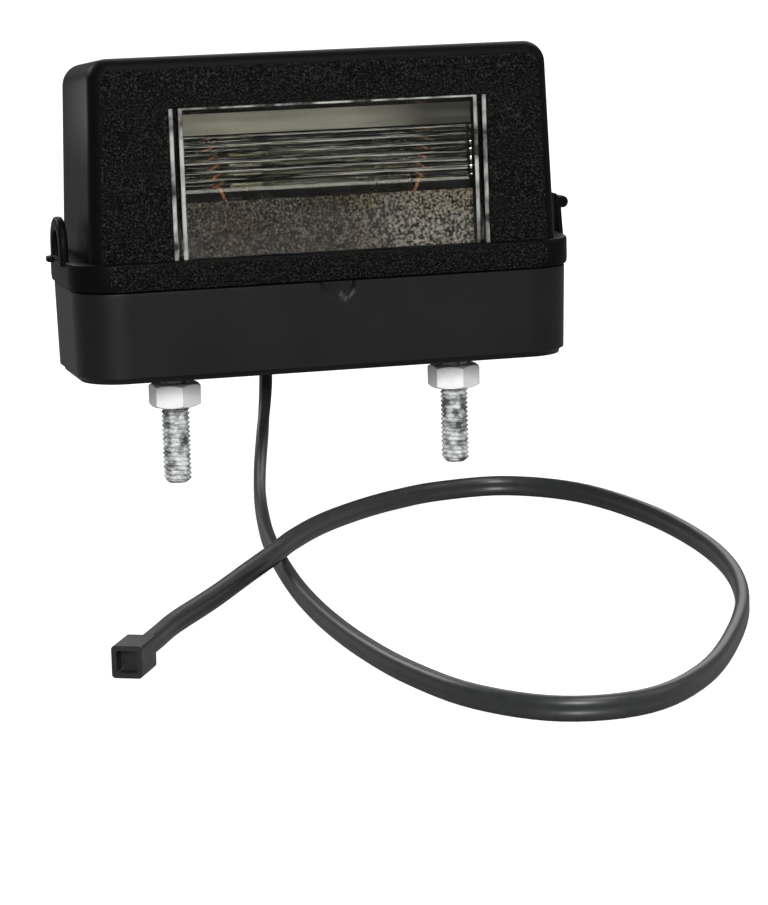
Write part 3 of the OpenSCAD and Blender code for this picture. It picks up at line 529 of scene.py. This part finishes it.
def window_loop():
    """Window opening as x and height along the face, with the same counts as the arch, so
    that the face between the two is a plain ring of quads."""
    x0, x1 = WINDOW_X - WINDOW_W / 2, WINDOW_X + WINDOW_W / 2
    z0, z1 = LEDGE_Z, LEDGE_Z + WINDOW_H * np.cos(FACE_LEAN)
    up = np.linspace(z0, z1, SIDE_N + BEND_N)
    right = np.column_stack([np.full(len(up), x1), up])
    left = np.column_stack([np.full(len(up), x0), up[::-1]])
    roof = np.column_stack([np.linspace(x1, x0, ROOF_N + 2)[1:-1], np.full(ROOF_N, z1)])
    foot = np.column_stack([np.linspace(x0, x1, FOOT_N + 2)[1:-1], np.full(FOOT_N, z0)])
    return np.vstack([right, roof, left, foot])


def hood_rings(inset, foot):
    """Rings of one skin of the hood, from the window's edge over the face, round its edge,
    back along the walls and round the back edge to the back wall."""
    edge_r = max(FACE_R - inset, 0.3)
    loop, face_loop = window_loop(), arch(inset + edge_r, HOOD_TOP, foot)
    rings = []
    for t in FACE_STEPS:
        ring = loop + (face_loop - loop) * t
        rings.append(np.column_stack([ring[:, 0], face_y(ring[:, 1]) + inset, ring[:, 1]]))
    for a in np.linspace(0, np.pi / 2, EDGE_N)[1:]:
        ring = arch(inset + edge_r * (1 - np.sin(a)), HOOD_TOP, foot)
        deep = face_y(ring[:, 1]) + inset + edge_r * (1 - np.cos(a))
        rings.append(np.column_stack([ring[:, 0], deep, ring[:, 1]]))
    back_top = HOOD_TOP - (HOOD_BACK - HOOD_FRONT) * np.tan(ROOF_FALL)
    back = []
    for a in np.linspace(np.pi / 2, 0, EDGE_N):
        ring = arch(inset + edge_r * (1 - np.sin(a)), back_top, foot)
        deep = back_y(ring[:, 1]) - inset - edge_r * (1 - np.cos(a))
        back.append(np.column_stack([ring[:, 0], deep, ring[:, 1]]))
    walls = [rings[-1] + (back[0] - rings[-1]) * t for t in np.linspace(0, 1, EDGE_N)[1:-1]]
    return np.stack(rings + walls + back)


def bridge(loop, step):
    """Quads from a closed loop of points to the same loop counted on by a step."""
    on = np.roll(loop, -1)
    return np.stack([loop, on, step + on, step + loop], -1)


outer_skin, inner_skin = hood_rings(0.0, LEDGE_Z - 0.7), hood_rings(HOOD_WALL, LEDGE_Z - 1.2)
rows, columns = outer_skin.shape[:2]
number = rows * columns
skin_faces = grid_faces(rows, columns)
# The foot is open: quads along it are left out behind the face. The right wall starts each
# ring, so the foot's points are the last ones.
edge_row, left_foot = len(FACE_STEPS) - 1, columns - FOOT_N - 1
in_row, in_column = skin_faces[:, 0] // columns, skin_faces[:, 0] % columns
skin_faces = skin_faces[(in_column < left_foot) | (in_row < edge_row)]
back_wall = np.arange(number - columns, number - FOOT_N)
# A rim joins the two skins round the foot: back along the right wall, over to the left wall,
# forward along it, and behind the face to where it began.
walls = np.arange(edge_row, rows) * columns
behind_face = edge_row * columns + np.arange(columns - FOOT_N, columns)
foot_line = np.concatenate([walls, walls[::-1] + left_foot, behind_face])
hood_cover = mesh_piece("hood_cover", np.concatenate([outer_skin, inner_skin]), [
    *skin_faces, *(skin_faces[:, ::-1] + number), *bridge(np.arange(columns), number),
    *bridge(foot_line, number), back_wall, back_wall[::-1] + number,
], 35)
# Grain lies on the window face and the start of its round edge, 21 degrees in.
middles, normals = face_table(hood_cover)
lay_finishes(hood_cover, (abs_satin, grain_abs), (normals[:, 1] < -0.93) & (middles[:, 1] < -5))
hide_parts("hood")

# Ear and tongue
# Snap handles moulded on the skirt: an arched loop that stands on the ledge's edge on the left,
# with a lug at its back foot, and a springy blade with a finger bead on the right.
# Ear: place, thickness, width, foot and top, and the same for its hole.
EAR_X, EAR_T, EAR_W, EAR_FOOT, EAR_TOP = 43.75, 1.5, 10.0, 19.2, 27.3
EAR_HOLE_W, EAR_HOLE_FOOT, EAR_HOLE_TOP, BAR_COLUMNS = 4.8, 20.6, 25.0, 20
TONGUE_X, TONGUE_FOOT, TONGUE_HALF = 45.0, 17.3, 1.5


def rounded_block(name, low, high, power=9):
    """A block with soft edges between two corners: the surface where the sum of |x|^n, |y|^n
    and |z|^n is 1, with x, y and z measured from its middle in half sizes."""
    steps = 28
    turn = np.linspace(0, 2 * np.pi, 2 * steps, endpoint=False)
    up = np.linspace(-np.pi / 2, np.pi / 2, steps)[:, None]
    x, y = np.cos(up) * np.cos(turn), np.cos(up) * np.sin(turn)
    ball = np.stack(np.broadcast_arrays(x, y, np.sin(up)), -1)
    # The ball is pushed most of the way to a cube, so its points lie evenly on the flat sides.
    ball = ball / np.abs(ball).max(-1, keepdims=True) ** 0.9
    shell = ball / (np.abs(ball) ** power).sum(-1, keepdims=True) ** (1 / power)
    low, high = np.array(low, float), np.array(high, float)
    points = (low + high) / 2 + shell * (high - low) / 2
    return mesh_piece(name, points, grid_faces(steps, 2 * steps), 50)


def loop_outline(width, foot, top):
    """Arch seen from the end, as y and z: foot, right side, half circle and left side."""
    r = width / 2
    a = np.linspace(0, np.pi, 16)
    bow = np.column_stack([r * np.cos(a), top - r + r * np.sin(a)])
    side = np.linspace(foot, top - r, 8, endpoint=False)
    sill = np.linspace(-r, r, 8, endpoint=False)
    return np.vstack([
        np.column_stack([sill, np.full(8, foot)]), np.column_stack([np.full(8, r), side]), bow,
        np.column_stack([np.full(8, -r), side[::-1]]),
    ]) + (MIDDLE_Y, 0)


outer_arch = loop_outline(EAR_W, EAR_FOOT, EAR_TOP)
inner_arch = loop_outline(EAR_HOLE_W, EAR_HOLE_FOOT, EAR_HOLE_TOP)
turn = np.linspace(0, 2 * np.pi, BAR_COLUMNS, endpoint=False)
# Section of the arch: the curve where |x|^4 + |y|^4 is 1, so a bar with well rounded edges.
bar = np.stack([np.cos(turn), np.sin(turn)], -1)
bar = bar / ((np.abs(bar) ** 4).sum(-1, keepdims=True) ** (1 / 4))
middle, spread = (outer_arch + inner_arch) / 2, (outer_arch - inner_arch) / 2
ear_points = np.empty((len(middle), BAR_COLUMNS, 3))
ear_points[..., 0] = -EAR_X + bar[:, 1] * EAR_T / 2
ear_points[..., 1:] = middle[:, None, :] + spread[:, None, :] * bar[None, :, :1]
latch_pieces = [
    mesh_piece("hood_ear", ear_points, grid_faces(len(middle), BAR_COLUMNS, along=True), 50),
    rounded_block("hood_ear_lug", (-45.4, MIDDLE_Y + 2.4, EAR_FOOT),
                  (-43.2, MIDDLE_Y + 5, EAR_FOOT + 1.1), 4),
    rounded_block("hood_tongue_foot", (43.2, MIDDLE_Y - TONGUE_HALF, TONGUE_FOOT),
                  (45.8, MIDDLE_Y + TONGUE_HALF, TONGUE_FOOT + 1.1)),
]
# Blade seen from the front, as x out from its foot and height: up its outside, round the bead,
# over its tip and down its inside.
bead_turn = np.radians(np.linspace(-112, 132, 18))[:, None]
blade = np.vstack([
    [(0, 0), (0.4, 0), (0.8, 0), (0.66, 2), (0.52, 4), (0.39, 6)],
    (0.748, 7.9) + np.hstack([np.cos(bead_turn), np.sin(bead_turn)]),
    [(-0.36, 9.34), (-0.5, 9.4), (-0.65, 9.3), (-0.42, 6), (-0.28, 4), (-0.14, 2)],
])
# The outline is carried across the blade's width, from y to y, and drawn in towards its ends.
across = np.array([-TONGUE_HALF, -1.47, -1.4, -1.25, 0, 1.25, 1.4, 1.47, TONGUE_HALF])
draw_in = np.array([0.86, 0.93, 0.98, 1, 1, 1, 0.98, 0.93, 0.86])
blade_middle = blade.mean(0)
blade_rings = blade_middle + (blade - blade_middle)[None] * draw_in[:, None, None]
tongue_points = np.empty((len(across), len(blade), 3))
tongue_points[..., 0] = TONGUE_X + blade_rings[..., 0]
tongue_points[..., 1] = MIDDLE_Y + across[:, None]
tongue_points[..., 2] = TONGUE_FOOT + blade_rings[..., 1]
tongue_faces = tube_faces(len(across), len(blade))
latch_pieces.append(mesh_piece("hood_tongue", tongue_points, tongue_faces, 45))
for piece in latch_pieces:
    piece.data.materials.append(abs_satin)
    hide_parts("hood")

# Lens
# Clear moulded acrylic. Its back has a round bar along the top, six narrow flutes, a plain
# band, and a stippled pane below that spreads the light; a grooved rail runs up each end.
LENS_HALF, LENS_H, RAIL_W, LENS_D = 27.6, 25.25, 2.3, 3.0
BAR_H, BAR_RISE, FLUTE_H, FLUTE_RISE, FLUTES, STIPPLE_H = 4.4, 1.0, 1.45, 0.45, 6, 9.3
RAIL_SPREAD, PIN_LOW, PIN_HIGH = LENS_HALF - RAIL_W / 2, 7.4, LENS_H - 1.5


def on_face(x, height, depth):
    """A place on the window face: x from its middle, height up the face and depth into it,
    turned back by the face's lean."""
    x, height, depth = np.broadcast_arrays(x, height, depth)
    return np.stack([
        WINDOW_X + x,
        HOOD_FRONT + height * np.sin(FACE_LEAN) + depth * np.cos(FACE_LEAN),
        LEDGE_Z + height * np.cos(FACE_LEAN) - depth * np.sin(FACE_LEAN),
    ], -1)


bar_foot = LENS_H - 0.6 - BAR_H
flute_foot = bar_foot - FLUTES * FLUTE_H
# Section of the pane as height and depth: up its back from the foot and down its face.
rise = np.linspace(0, np.pi, 15)
back = [(0.0, LENS_D), (STIPPLE_H, LENS_D), (flute_foot, LENS_D)]
for k in range(FLUTES):
    up = flute_foot + FLUTE_H * (k + rise[1:] / np.pi)
    back += list(zip(up, LENS_D + FLUTE_RISE * np.sin(rise[1:])))
rise = np.linspace(0, np.pi, 33)
back += list(zip(bar_foot + BAR_H * rise[1:] / np.pi, LENS_D + BAR_RISE * np.sin(rise[1:])))
section = np.array([*back, (LENS_H, LENS_D), (LENS_H, 0.0), (LENS_H - 0.3, 0.0), (LENS_H / 2, 0.0),
                    (STIPPLE_H, 0.0), (0.0, 0.0)])
stations = np.linspace(-(LENS_HALF - RAIL_W), LENS_HALF - RAIL_W, 25)
pane = on_face(stations[:, None], section[None, :, 0], section[None, :, 1])
lens_pane = mesh_piece("lens_pane", pane, tube_faces(len(stations), len(section)), 50)

# Clear acrylic, polished, with slow waves from the mould.
clear_acrylic = clouded("clear_moulded_acrylic", 160.0, 2.0, "f2f2e2", 0.03,
                        {"IOR": 1.49, "Transmission Weight": 1.0}, relief=(0.12, 0.0004))
# Flutes: the same acrylic with fine tool marks along them, which soften what lies behind.
fluted_acrylic = new_material("fluted_moulded_acrylic")
flute_place = add(fluted_acrylic, "TexCoord")
flute_stretch = add(fluted_acrylic, "Mapping", {
    "Vector": flute_place.outputs["Object"], "Scale": (0.04, 1.0, 1.0),
})
flute_marks = add(fluted_acrylic, "TexNoise", {
    "Vector": flute_stretch.outputs["Vector"], "Scale": 1800.0, "Detail": 2.0,
})
flute_relief = add(fluted_acrylic, "Bump", {
    "Height": flute_marks.outputs["Fac"], "Strength": 0.35, "Distance": 0.0003,
})
flute_gloss = add(fluted_acrylic, "MapRange", {
    "Value": flute_marks.outputs["Fac"], "To Min": 0.01, "To Max": 0.07,
})
fluted_acrylic_skin = add(fluted_acrylic, "BsdfPrincipled", {
    "Base Color": linear("c2c0a4"), "Roughness": flute_gloss.outputs["Result"], "IOR": 1.49,
    "Specular IOR Level": 0.2, "Transmission Weight": 1.0, "Normal": flute_relief.outputs["Normal"],
})
add(fluted_acrylic, "OutputMaterial", {"Surface": fluted_acrylic_skin.outputs["BSDF"]})
# Round bar: its matt back has a painted cream glow, with painted light that is brightest at
# the left and fades to the right.
bar_acrylic_painted_glow = new_material("acrylic_bar_painted_glow")
bar_place = add(bar_acrylic_painted_glow, "TexCoord")
bar_streaks = add(bar_acrylic_painted_glow, "Mapping", {
    "Vector": bar_place.outputs["Object"], "Scale": (0.12, 1.0, 1.0),
})
bar_cloud = add(bar_acrylic_painted_glow, "TexNoise", {
    "Vector": bar_streaks.outputs["Vector"], "Scale": 900.0, "Detail": 3.0,
})
bar_painted_glow_tone = add(bar_acrylic_painted_glow, "ValToRGB", {
    "Fac": bar_cloud.outputs["Fac"],
}, [(0, "8f8c84"), (1, "d2cfc6")])
bar_axes = add(bar_acrylic_painted_glow, "SeparateXYZ", {"Vector": bar_place.outputs["Object"]})
# Painted light: the glow fades from bright at the left end to dim at the right.
bar_painted_light_fade = add(bar_acrylic_painted_glow, "MapRange", {
    "Value": bar_axes.outputs["X"], "From Min": 0.006, "From Max": 0.018,
    "To Min": 1.15, "To Max": 0.2,
})
bar_painted_light_graded = add(bar_acrylic_painted_glow, "HueSaturation", {
    "Color": bar_painted_glow_tone.outputs["Color"], "Value": bar_painted_light_fade.outputs["Result"],
})
bar_acrylic_skin = add(bar_acrylic_painted_glow, "BsdfPrincipled", {
    "Base Color": bar_painted_light_graded.outputs["Color"], "Roughness": 0.35, "IOR": 1.49,
    "Transmission Weight": 0.35,
})
add(bar_acrylic_painted_glow, "OutputMaterial", {"Surface": bar_acrylic_skin.outputs["BSDF"]})
# Stipple: peened pebbles 0.6 mm wide, some clearer than others, that scatter the light.
stippled_acrylic = new_material("stippled_moulded_acrylic")
stipple_place = add(stippled_acrylic, "TexCoord")
stipple_cells = add(stippled_acrylic, "TexVoronoi", {
    "Vector": stipple_place.outputs["Object"], "Scale": 1800.0,
})
stipple_noise = add(stippled_acrylic, "TexNoise", {
    "Vector": stipple_place.outputs["Object"], "Scale": 2100.0, "Detail": 2.0,
})
stipple_sum = add(stippled_acrylic, "Math", {
    0: stipple_cells.outputs["Distance"], 1: stipple_noise.outputs["Fac"],
}, operation="ADD")
stipple_relief = add(stippled_acrylic, "Bump", {
    "Height": stipple_sum.outputs[0], "Strength": 1.0, "Distance": 0.0004,
})
stipple_tone = add(stippled_acrylic, "ValToRGB", {"Fac": stipple_noise.outputs["Fac"]},
                   [(0.38, "22201d"), (0.66, "bdb3a8")])
# Painted light makes it lighter to the right, and a painted copper tint of the contacts seen
# through it comes in soft patches.
stipple_axes = add(stippled_acrylic, "SeparateXYZ", {"Vector": stipple_place.outputs["Object"]})
stipple_painted_light_fade = add(stippled_acrylic, "MapRange", {
    "Value": stipple_axes.outputs["X"], "From Min": 0.002, "From Max": 0.016,
    "To Min": 0.85, "To Max": 2.8,
})
stipple_patch = add(stippled_acrylic, "TexNoise", {
    "Vector": stipple_place.outputs["Object"], "Scale": 110.0, "Detail": 1.0,
})
stipple_painted_copper_tint = add(stippled_acrylic, "MapRange", {
    "Value": stipple_patch.outputs["Fac"], "From Min": 0.4, "From Max": 0.65,
    "To Min": 0.6, "To Max": 1.8,
})
stipple_painted_light_graded = add(stippled_acrylic, "HueSaturation", {
    "Color": stipple_tone.outputs["Color"], "Value": stipple_painted_light_fade.outputs["Result"],
    "Saturation": stipple_painted_copper_tint.outputs["Result"],
})
stipple_clear = add(stippled_acrylic, "BsdfPrincipled", {
    "Base Color": stipple_painted_light_graded.outputs["Color"], "Roughness": 0.2, "IOR": 1.49,
    "Transmission Weight": 0.6, "Normal": stipple_relief.outputs["Normal"],
})
add(stippled_acrylic, "OutputMaterial", {"Surface": stipple_clear.outputs["BSDF"]})
# Lips of the lens: frosted edges that catch the light as thin bright lines.
rail_acrylic = clouded("matt_acrylic_lip", 300.0, 2.0, [(0.35, "30302d"), (0.65, "b9b9b3")], 0.25,
                       {"IOR": 1.49, "Transmission Weight": 0.25})
middles, normals = face_table(lens_pane)
height = (middles[:, 2] - LEDGE_Z) / np.cos(FACE_LEAN)
behind = normals[:, 1] > 0.2
# The number of a face's finish: the stipple, the bar, the flutes and the upper lip, or else clear.
finishes = (clear_acrylic, fluted_acrylic, bar_acrylic_painted_glow, stippled_acrylic, rail_acrylic)
lay_finishes(lens_pane, finishes, np.select([
    behind & (height < STIPPLE_H - 0.3),
    behind & (height > bar_foot + 0.2) & (height < bar_foot + BAR_H - 0.7),
    behind & (height > flute_foot),
    (normals[:, 1] < -0.3) & (height > LENS_H - 0.3),
], [3, 2, 1, 4], 0))

# Rail: a strip with a groove down its face, drawn as its section carried up the window, from
# x and depth, and squeezed a little at both ends.
rail_section = np.array([
    (-1.15, 3.0), (-1.15, 0.1), (-1.05, 0.0), (-0.6, 0.0), (-0.45, 0.15), (-0.45, 1.3), (0.45, 1.3),
    (0.45, 0.15), (0.6, 0.0), (1.05, 0.0), (1.15, 0.1), (1.15, 1.9), (2.3, 1.9), (2.3, 3.0),
])
heights = np.array([0.0, 0.12, 6, 12, 18, LENS_H - 0.12, LENS_H])
squeeze = np.array([0.97, 1, 1, 1, 1, 1, 0.97])
for side, name in ((-1, "lens_rail_left"), (1, "lens_rail_right")):
    x = side * (RAIL_SPREAD + rail_section[:, 0])
    deep = LENS_D / 2 + (rail_section[None, :, 1] - LENS_D / 2) * squeeze[:, None]
    rail = on_face(x[None, :], heights[:, None], deep)
    lens_rail = mesh_piece(name, rail, tube_faces(len(heights), len(rail_section)), 30)
    middles, normals = face_table(lens_rail)
    deep = middles[:, 1] - face_y(middles[:, 2])
    lay_finishes(lens_rail, (clear_acrylic, rail_acrylic), (normals[:, 1] < -0.3) & (deep <= 0.8))
    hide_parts("lens")
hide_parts("lens")
# Black pins of the hood stand in the rails' grooves and hold the lens.
for side, tag in ((-1, "left"), (1, "right")):
    for level, pin_height in (("low", PIN_LOW), ("high", PIN_HIGH)):
        centre, reach = on_face(side * RAIL_SPREAD, pin_height, 0.65), (0.42, 0.6, 0.55)
        pin = rounded_block(f"hood_pin_{tag}_{level}", centre - reach, centre + reach, 2.6)
        pin.data.materials.append(abs_satin)
        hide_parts("hood")

# Bulb
# Festoon bulb: a clear glass barrel between two nickel plated brass caps with small tips. The
# two spring contacts hold it by its tips.
# Its axis runs from left to right at this place.
BULB_X, BULB_Z, LATHE_COLUMNS = WINDOW_X, 33.0, 64


def lathe(name, profile):
    """A body of revolution about the bulb's axis: each pair of distance along the axis and
    radius is swept round it."""
    profile = np.array(profile, float)
    a = np.linspace(0, 2 * np.pi, LATHE_COLUMNS, endpoint=False)[None, :]
    x = np.broadcast_to(profile[:, :1], (len(profile), LATHE_COLUMNS))
    y, z = profile[:, 1:] * np.cos(a), profile[:, 1:] * np.sin(a)
    points = np.stack([BULB_X + x, BULB_Y + y, BULB_Z + z], -1)
    return mesh_piece(name, points, grid_faces(len(profile), LATHE_COLUMNS))


def barrel(radius, neck, half):
    """Profile of a glass wall from end to end: a neck, a shoulder of a quarter ellipse, the
    straight barrel and the same again mirrored."""
    a = np.linspace(np.pi / 2, 0, 9)
    shoulder = np.stack([half - 1.8 - 1.2 * np.cos(a), neck + (radius - neck) * np.sin(a)], -1)
    right = np.vstack([shoulder, (half, neck), (half, 0)])
    return np.vstack([right[::-1] * (-1, 1), right])


bulb_envelope = lathe("bulb_envelope", barrel(5.0, 3.3, 11.4))
bulb_hollow = lathe("bulb_hollow", barrel(4.4, 2.7, 10.8))
bulb_hollow.data.flip_normals()
# Clear blown glass, hardly seen but for its highlights and slow waves.
bulb_clear = clouded("clear_bulb_glass", 90.0, 2.0, "f6f8f7", 0.01,
                     {"IOR": 1.5, "Transmission Weight": 1.0}, relief=(0.1, 0.0005))
for piece in (bulb_envelope, bulb_hollow):
    piece.data.materials.append(bulb_clear)
    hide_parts("bulb_glass")

# Nickel plate on drawn brass: a soft grey mirror with a few duller clouds.
nickel = clouded("nickel_plated_brass", 500.0, 4.0, [(0, "696763"), (1, "8e8c86")],
                 (0.18, 0.36), {"Metallic": 1.0})
# Cap by distance from the bulb's middle and radius: a rolled rim, a can, a dome and a tip.
cap_profile = [
    (11.5, 0), (11.5, 3.35), (10.2, 3.35), (10.2, 3.8), (10.3, 3.86), (10.7, 3.8), (15.6, 3.8),
    (15.9, 3.7), (16.2, 3.45), (17.0, 1.7), (17.1, 1.4), (17.8, 1.3), (18.0, 1.1), (18.0, 0),
]
for side, tag in ((-1, "left"), (1, "right")):
    can = lathe("bulb_can_" + tag, [(side * x, r) for x, r in cap_profile])
    can.data.materials.append(nickel)
    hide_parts("bulb_cap_" + tag)

# Tungsten coil hung between two support wires, dull grey with fine lines from the die.
COIL_TURNS, COIL_HALF, COIL_R, COIL_Z, WIRE_R, WIRE_SIDES = 18, 4.1, 0.45, 0.75, 0.09, 8
tungsten = new_material("drawn_tungsten_wire")
tungsten_place = add(tungsten, "TexCoord")
tungsten_lines = add(tungsten, "TexWave", {
    "Vector": tungsten_place.outputs["Object"], "Scale": 4000.0,
})
tungsten_gloss = add(tungsten, "MapRange", {
    "Value": tungsten_lines.outputs["Fac"], "To Min": 0.3, "To Max": 0.5,
})
tungsten_skin = add(tungsten, "BsdfPrincipled", {
    "Base Color": linear("8e8c86"), "Roughness": tungsten_gloss.outputs["Result"], "Metallic": 1.0,
})
add(tungsten, "OutputMaterial", {"Surface": tungsten_skin.outputs["BSDF"]})
turns = np.linspace(0, COIL_TURNS * 2 * np.pi, COIL_TURNS * 12)
coil_line = np.column_stack([
    np.linspace(-COIL_HALF, COIL_HALF, len(turns)),
    COIL_R * np.cos(turns), COIL_Z + COIL_R * np.sin(turns),
])
wire_line = np.vstack([
    smooth_path(np.array([(-10.6, 0, 0), (-9, 0, 0), (-6, 0, 0.4), (-4.1, 0.2, 0.75)]), 6),
    coil_line,
    smooth_path(np.array([(4.1, 0.2, 0.75), (6, 0, 0.4), (9, 0, 0), (10.6, 0, 0)]), 6),
])
wire_line = wire_line[np.r_[True, np.linalg.norm(np.diff(wire_line, axis=0), axis=1) > 1e-3]]


def wire(name, line, radius, sides):
    """A round wire: a circle square to the line's direction at each of its points."""
    ahead = unit(np.gradient(line, axis=0))
    side = unit(np.cross(ahead, np.where(np.abs(ahead[:, 2:]) > 0.9, (0, 1, 0), (0, 0, 1))))
    rise = np.cross(side, ahead)
    a = np.linspace(0, 2 * np.pi, sides, endpoint=False)[None, :, None]
    spokes = side[:, None, :] * np.cos(a) + rise[:, None, :] * np.sin(a)
    points = line[:, None, :] + radius * spokes
    return mesh_piece(name, points, tube_faces(len(line), sides), 60)


filament = wire("bulb_coil", wire_line + (BULB_X, BULB_Y, BULB_Z), WIRE_R, WIRE_SIDES)
filament.data.materials.append(tungsten)
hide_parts("bulb_filament")

# Contacts, terminals and cores
# Spring contact strips riveted to the base posts, and terminals crimped on the two cores. The
# CAD solids have their shapes.

# Rolled copper alloy, warm and satin; stamped brass, yellower; and the cores' soft PVC.
copper = clouded("rolled_copper_strip", 700.0, 4.0, [(0, "c8693f"), (1, "f6b08a")],
                 (0.2, 0.38), {"Metallic": 1.0})
brass = clouded("stamped_brass", 800.0, 3.0, [(0, "a8843f"), (1, "d3b06a")], 0.3, {"Metallic": 1.0})
core_brown = clouded("brown_core_pvc", 600.0, 2.0, [(0, "4d2f1a"), (1, "6b4428")], 0.42, {})
core_grey = clouded("grey_core_pvc", 600.0, 2.0, [(0, "a5a5a0"), (1, "bdbdb8")], 0.42, {})

# Seal and grommet
# Soft black rubber mouldings, matt, with a faint bloom: a ring between the hood and the base's
# lip, and a grommet in the hole that the lead leaves by.
rubber = clouded("moulded_black_rubber", 400.0, 4.0, [(0, "0e0e0f"), (1, "1b1b1c")], 0.62, {})
for name, finish in {
    "contact_left": copper, "contact_right": copper, "terminal_left": brass,
    "terminal_right": brass, "rivet_left": brass, "rivet_right": brass,
    "core_wire_left": core_brown, "core_wire_right": core_grey,
    "cable_grommet": rubber, "hood_seal": rubber, "cable_lead_in": pvc_sheath,
}.items():
    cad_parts[name].data.materials.clear()
    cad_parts[name].data.materials.append(finish)

# Studs and nuts
# Zinc plated M5 bolts, their hexagon heads seated in the base's pockets, and one chamfered nut
# run up each to 2.2 mm below the base.
STUD_R, STUD_TIP, PITCH, THREAD_ROOT, THREAD_RISE = 2.5, -19.5, 0.8, 2.0, 0.45
NUT_FLATS, NUT_TURN, NUT_ROUND, NUT_LOW, NUT_HIGH = 8.0, 35, 144, -6.2, -2.2
# Zinc plate, nearly white and matt, hardly a metal to the eye: its white is a painted
# reflection.
zinc_finish = (0.45, 0.6), {"Metallic": 0.15}, (0.2, 0.0002)
zinc = clouded("zinc_plate_painted_reflection", 650.0, 5.0, [(0, "e6e7e8"), (1, "fafafa")], *zinc_finish)
# Thread: the same plating, speckled from dark to light in patches: dark patches of painted
# thread shadow and light patches of painted reflection.
patchy_zinc_painted_shade = clouded("zinc_thread_painted_shade", 650.0, 5.0, [(0.38, "505253"), (0.62, "dfe1e1")],
                     *zinc_finish)

# Thread: a rounded V that moves up by one pitch a turn from its root, cut off at the tip's cone.
thread_z = np.arange(STUD_TIP, -2.25, 0.08)[:, None]
phase = (thread_z / PITCH + way / (2 * np.pi)) % 1.0
thread_r = THREAD_ROOT + THREAD_RISE * (1 - np.abs(2 * phase - 1)) ** 0.8
thread_r = np.minimum(thread_r, 1.55 + (thread_z - STUD_TIP) * 1.2)
bolt_rows = [
    (0, STUD_TIP), *zip(thread_r, thread_z[:, 0]), (2.44, -2.2), (STUD_R, -2.14), (STUD_R, 0.0),
    (2.7, 0.0), (2.7, FLOOR), (hexagon(way, 8.0), FLOOR), (hexagon(way, 8.0), 5.6),
    (hexagon(way, 7.4), BOSS_TOP), (0, BOSS_TOP),
]
# Nut: a countersunk hole, and a chamfer at each end that trims the six corners to curves.
nut_way = np.linspace(0, 2 * np.pi, NUT_ROUND, endpoint=False)
nut_hexagon = hexagon(nut_way, NUT_FLATS, np.radians(NUT_TURN + 30))
chamfer = np.linspace(0.03, 0.42, 9)
nut_rows = [
    (2.5, NUT_LOW + 0.3), (2.75, NUT_LOW), (3.85, NUT_LOW),
    *zip(3.85 + 1.9 * chamfer, NUT_LOW + chamfer), (4.7, NUT_LOW + 0.5), (4.7, NUT_HIGH - 0.5),
    *zip(3.85 + 1.9 * chamfer[::-1], NUT_HIGH - chamfer[::-1]),
    (3.85, NUT_HIGH), (2.75, NUT_HIGH), (2.5, NUT_HIGH - 0.3),
]
nut_rows = [(np.minimum(r, nut_hexagon), z) for r, z in nut_rows]
for side, tag in ((-1, "left"), (1, "right")):
    bolt_points = upright_rings(side * STUD_X, 0, bolt_rows)
    bolt = mesh_piece("bolt_" + tag, bolt_points, grid_faces(*bolt_points.shape[:2]), 35)
    bolt.data.materials.append(patchy_zinc_painted_shade)
    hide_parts("stud_" + tag)

    nut_points = upright_rings(side * STUD_X, 0, nut_rows, nut_way)
    nut_faces = grid_faces(*nut_points.shape[:2], along=True)
    nut = mesh_piece("hex_nut_" + tag, nut_points, nut_faces, 30)
    nut.data.materials.append(zinc)
    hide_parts("nut_" + tag)
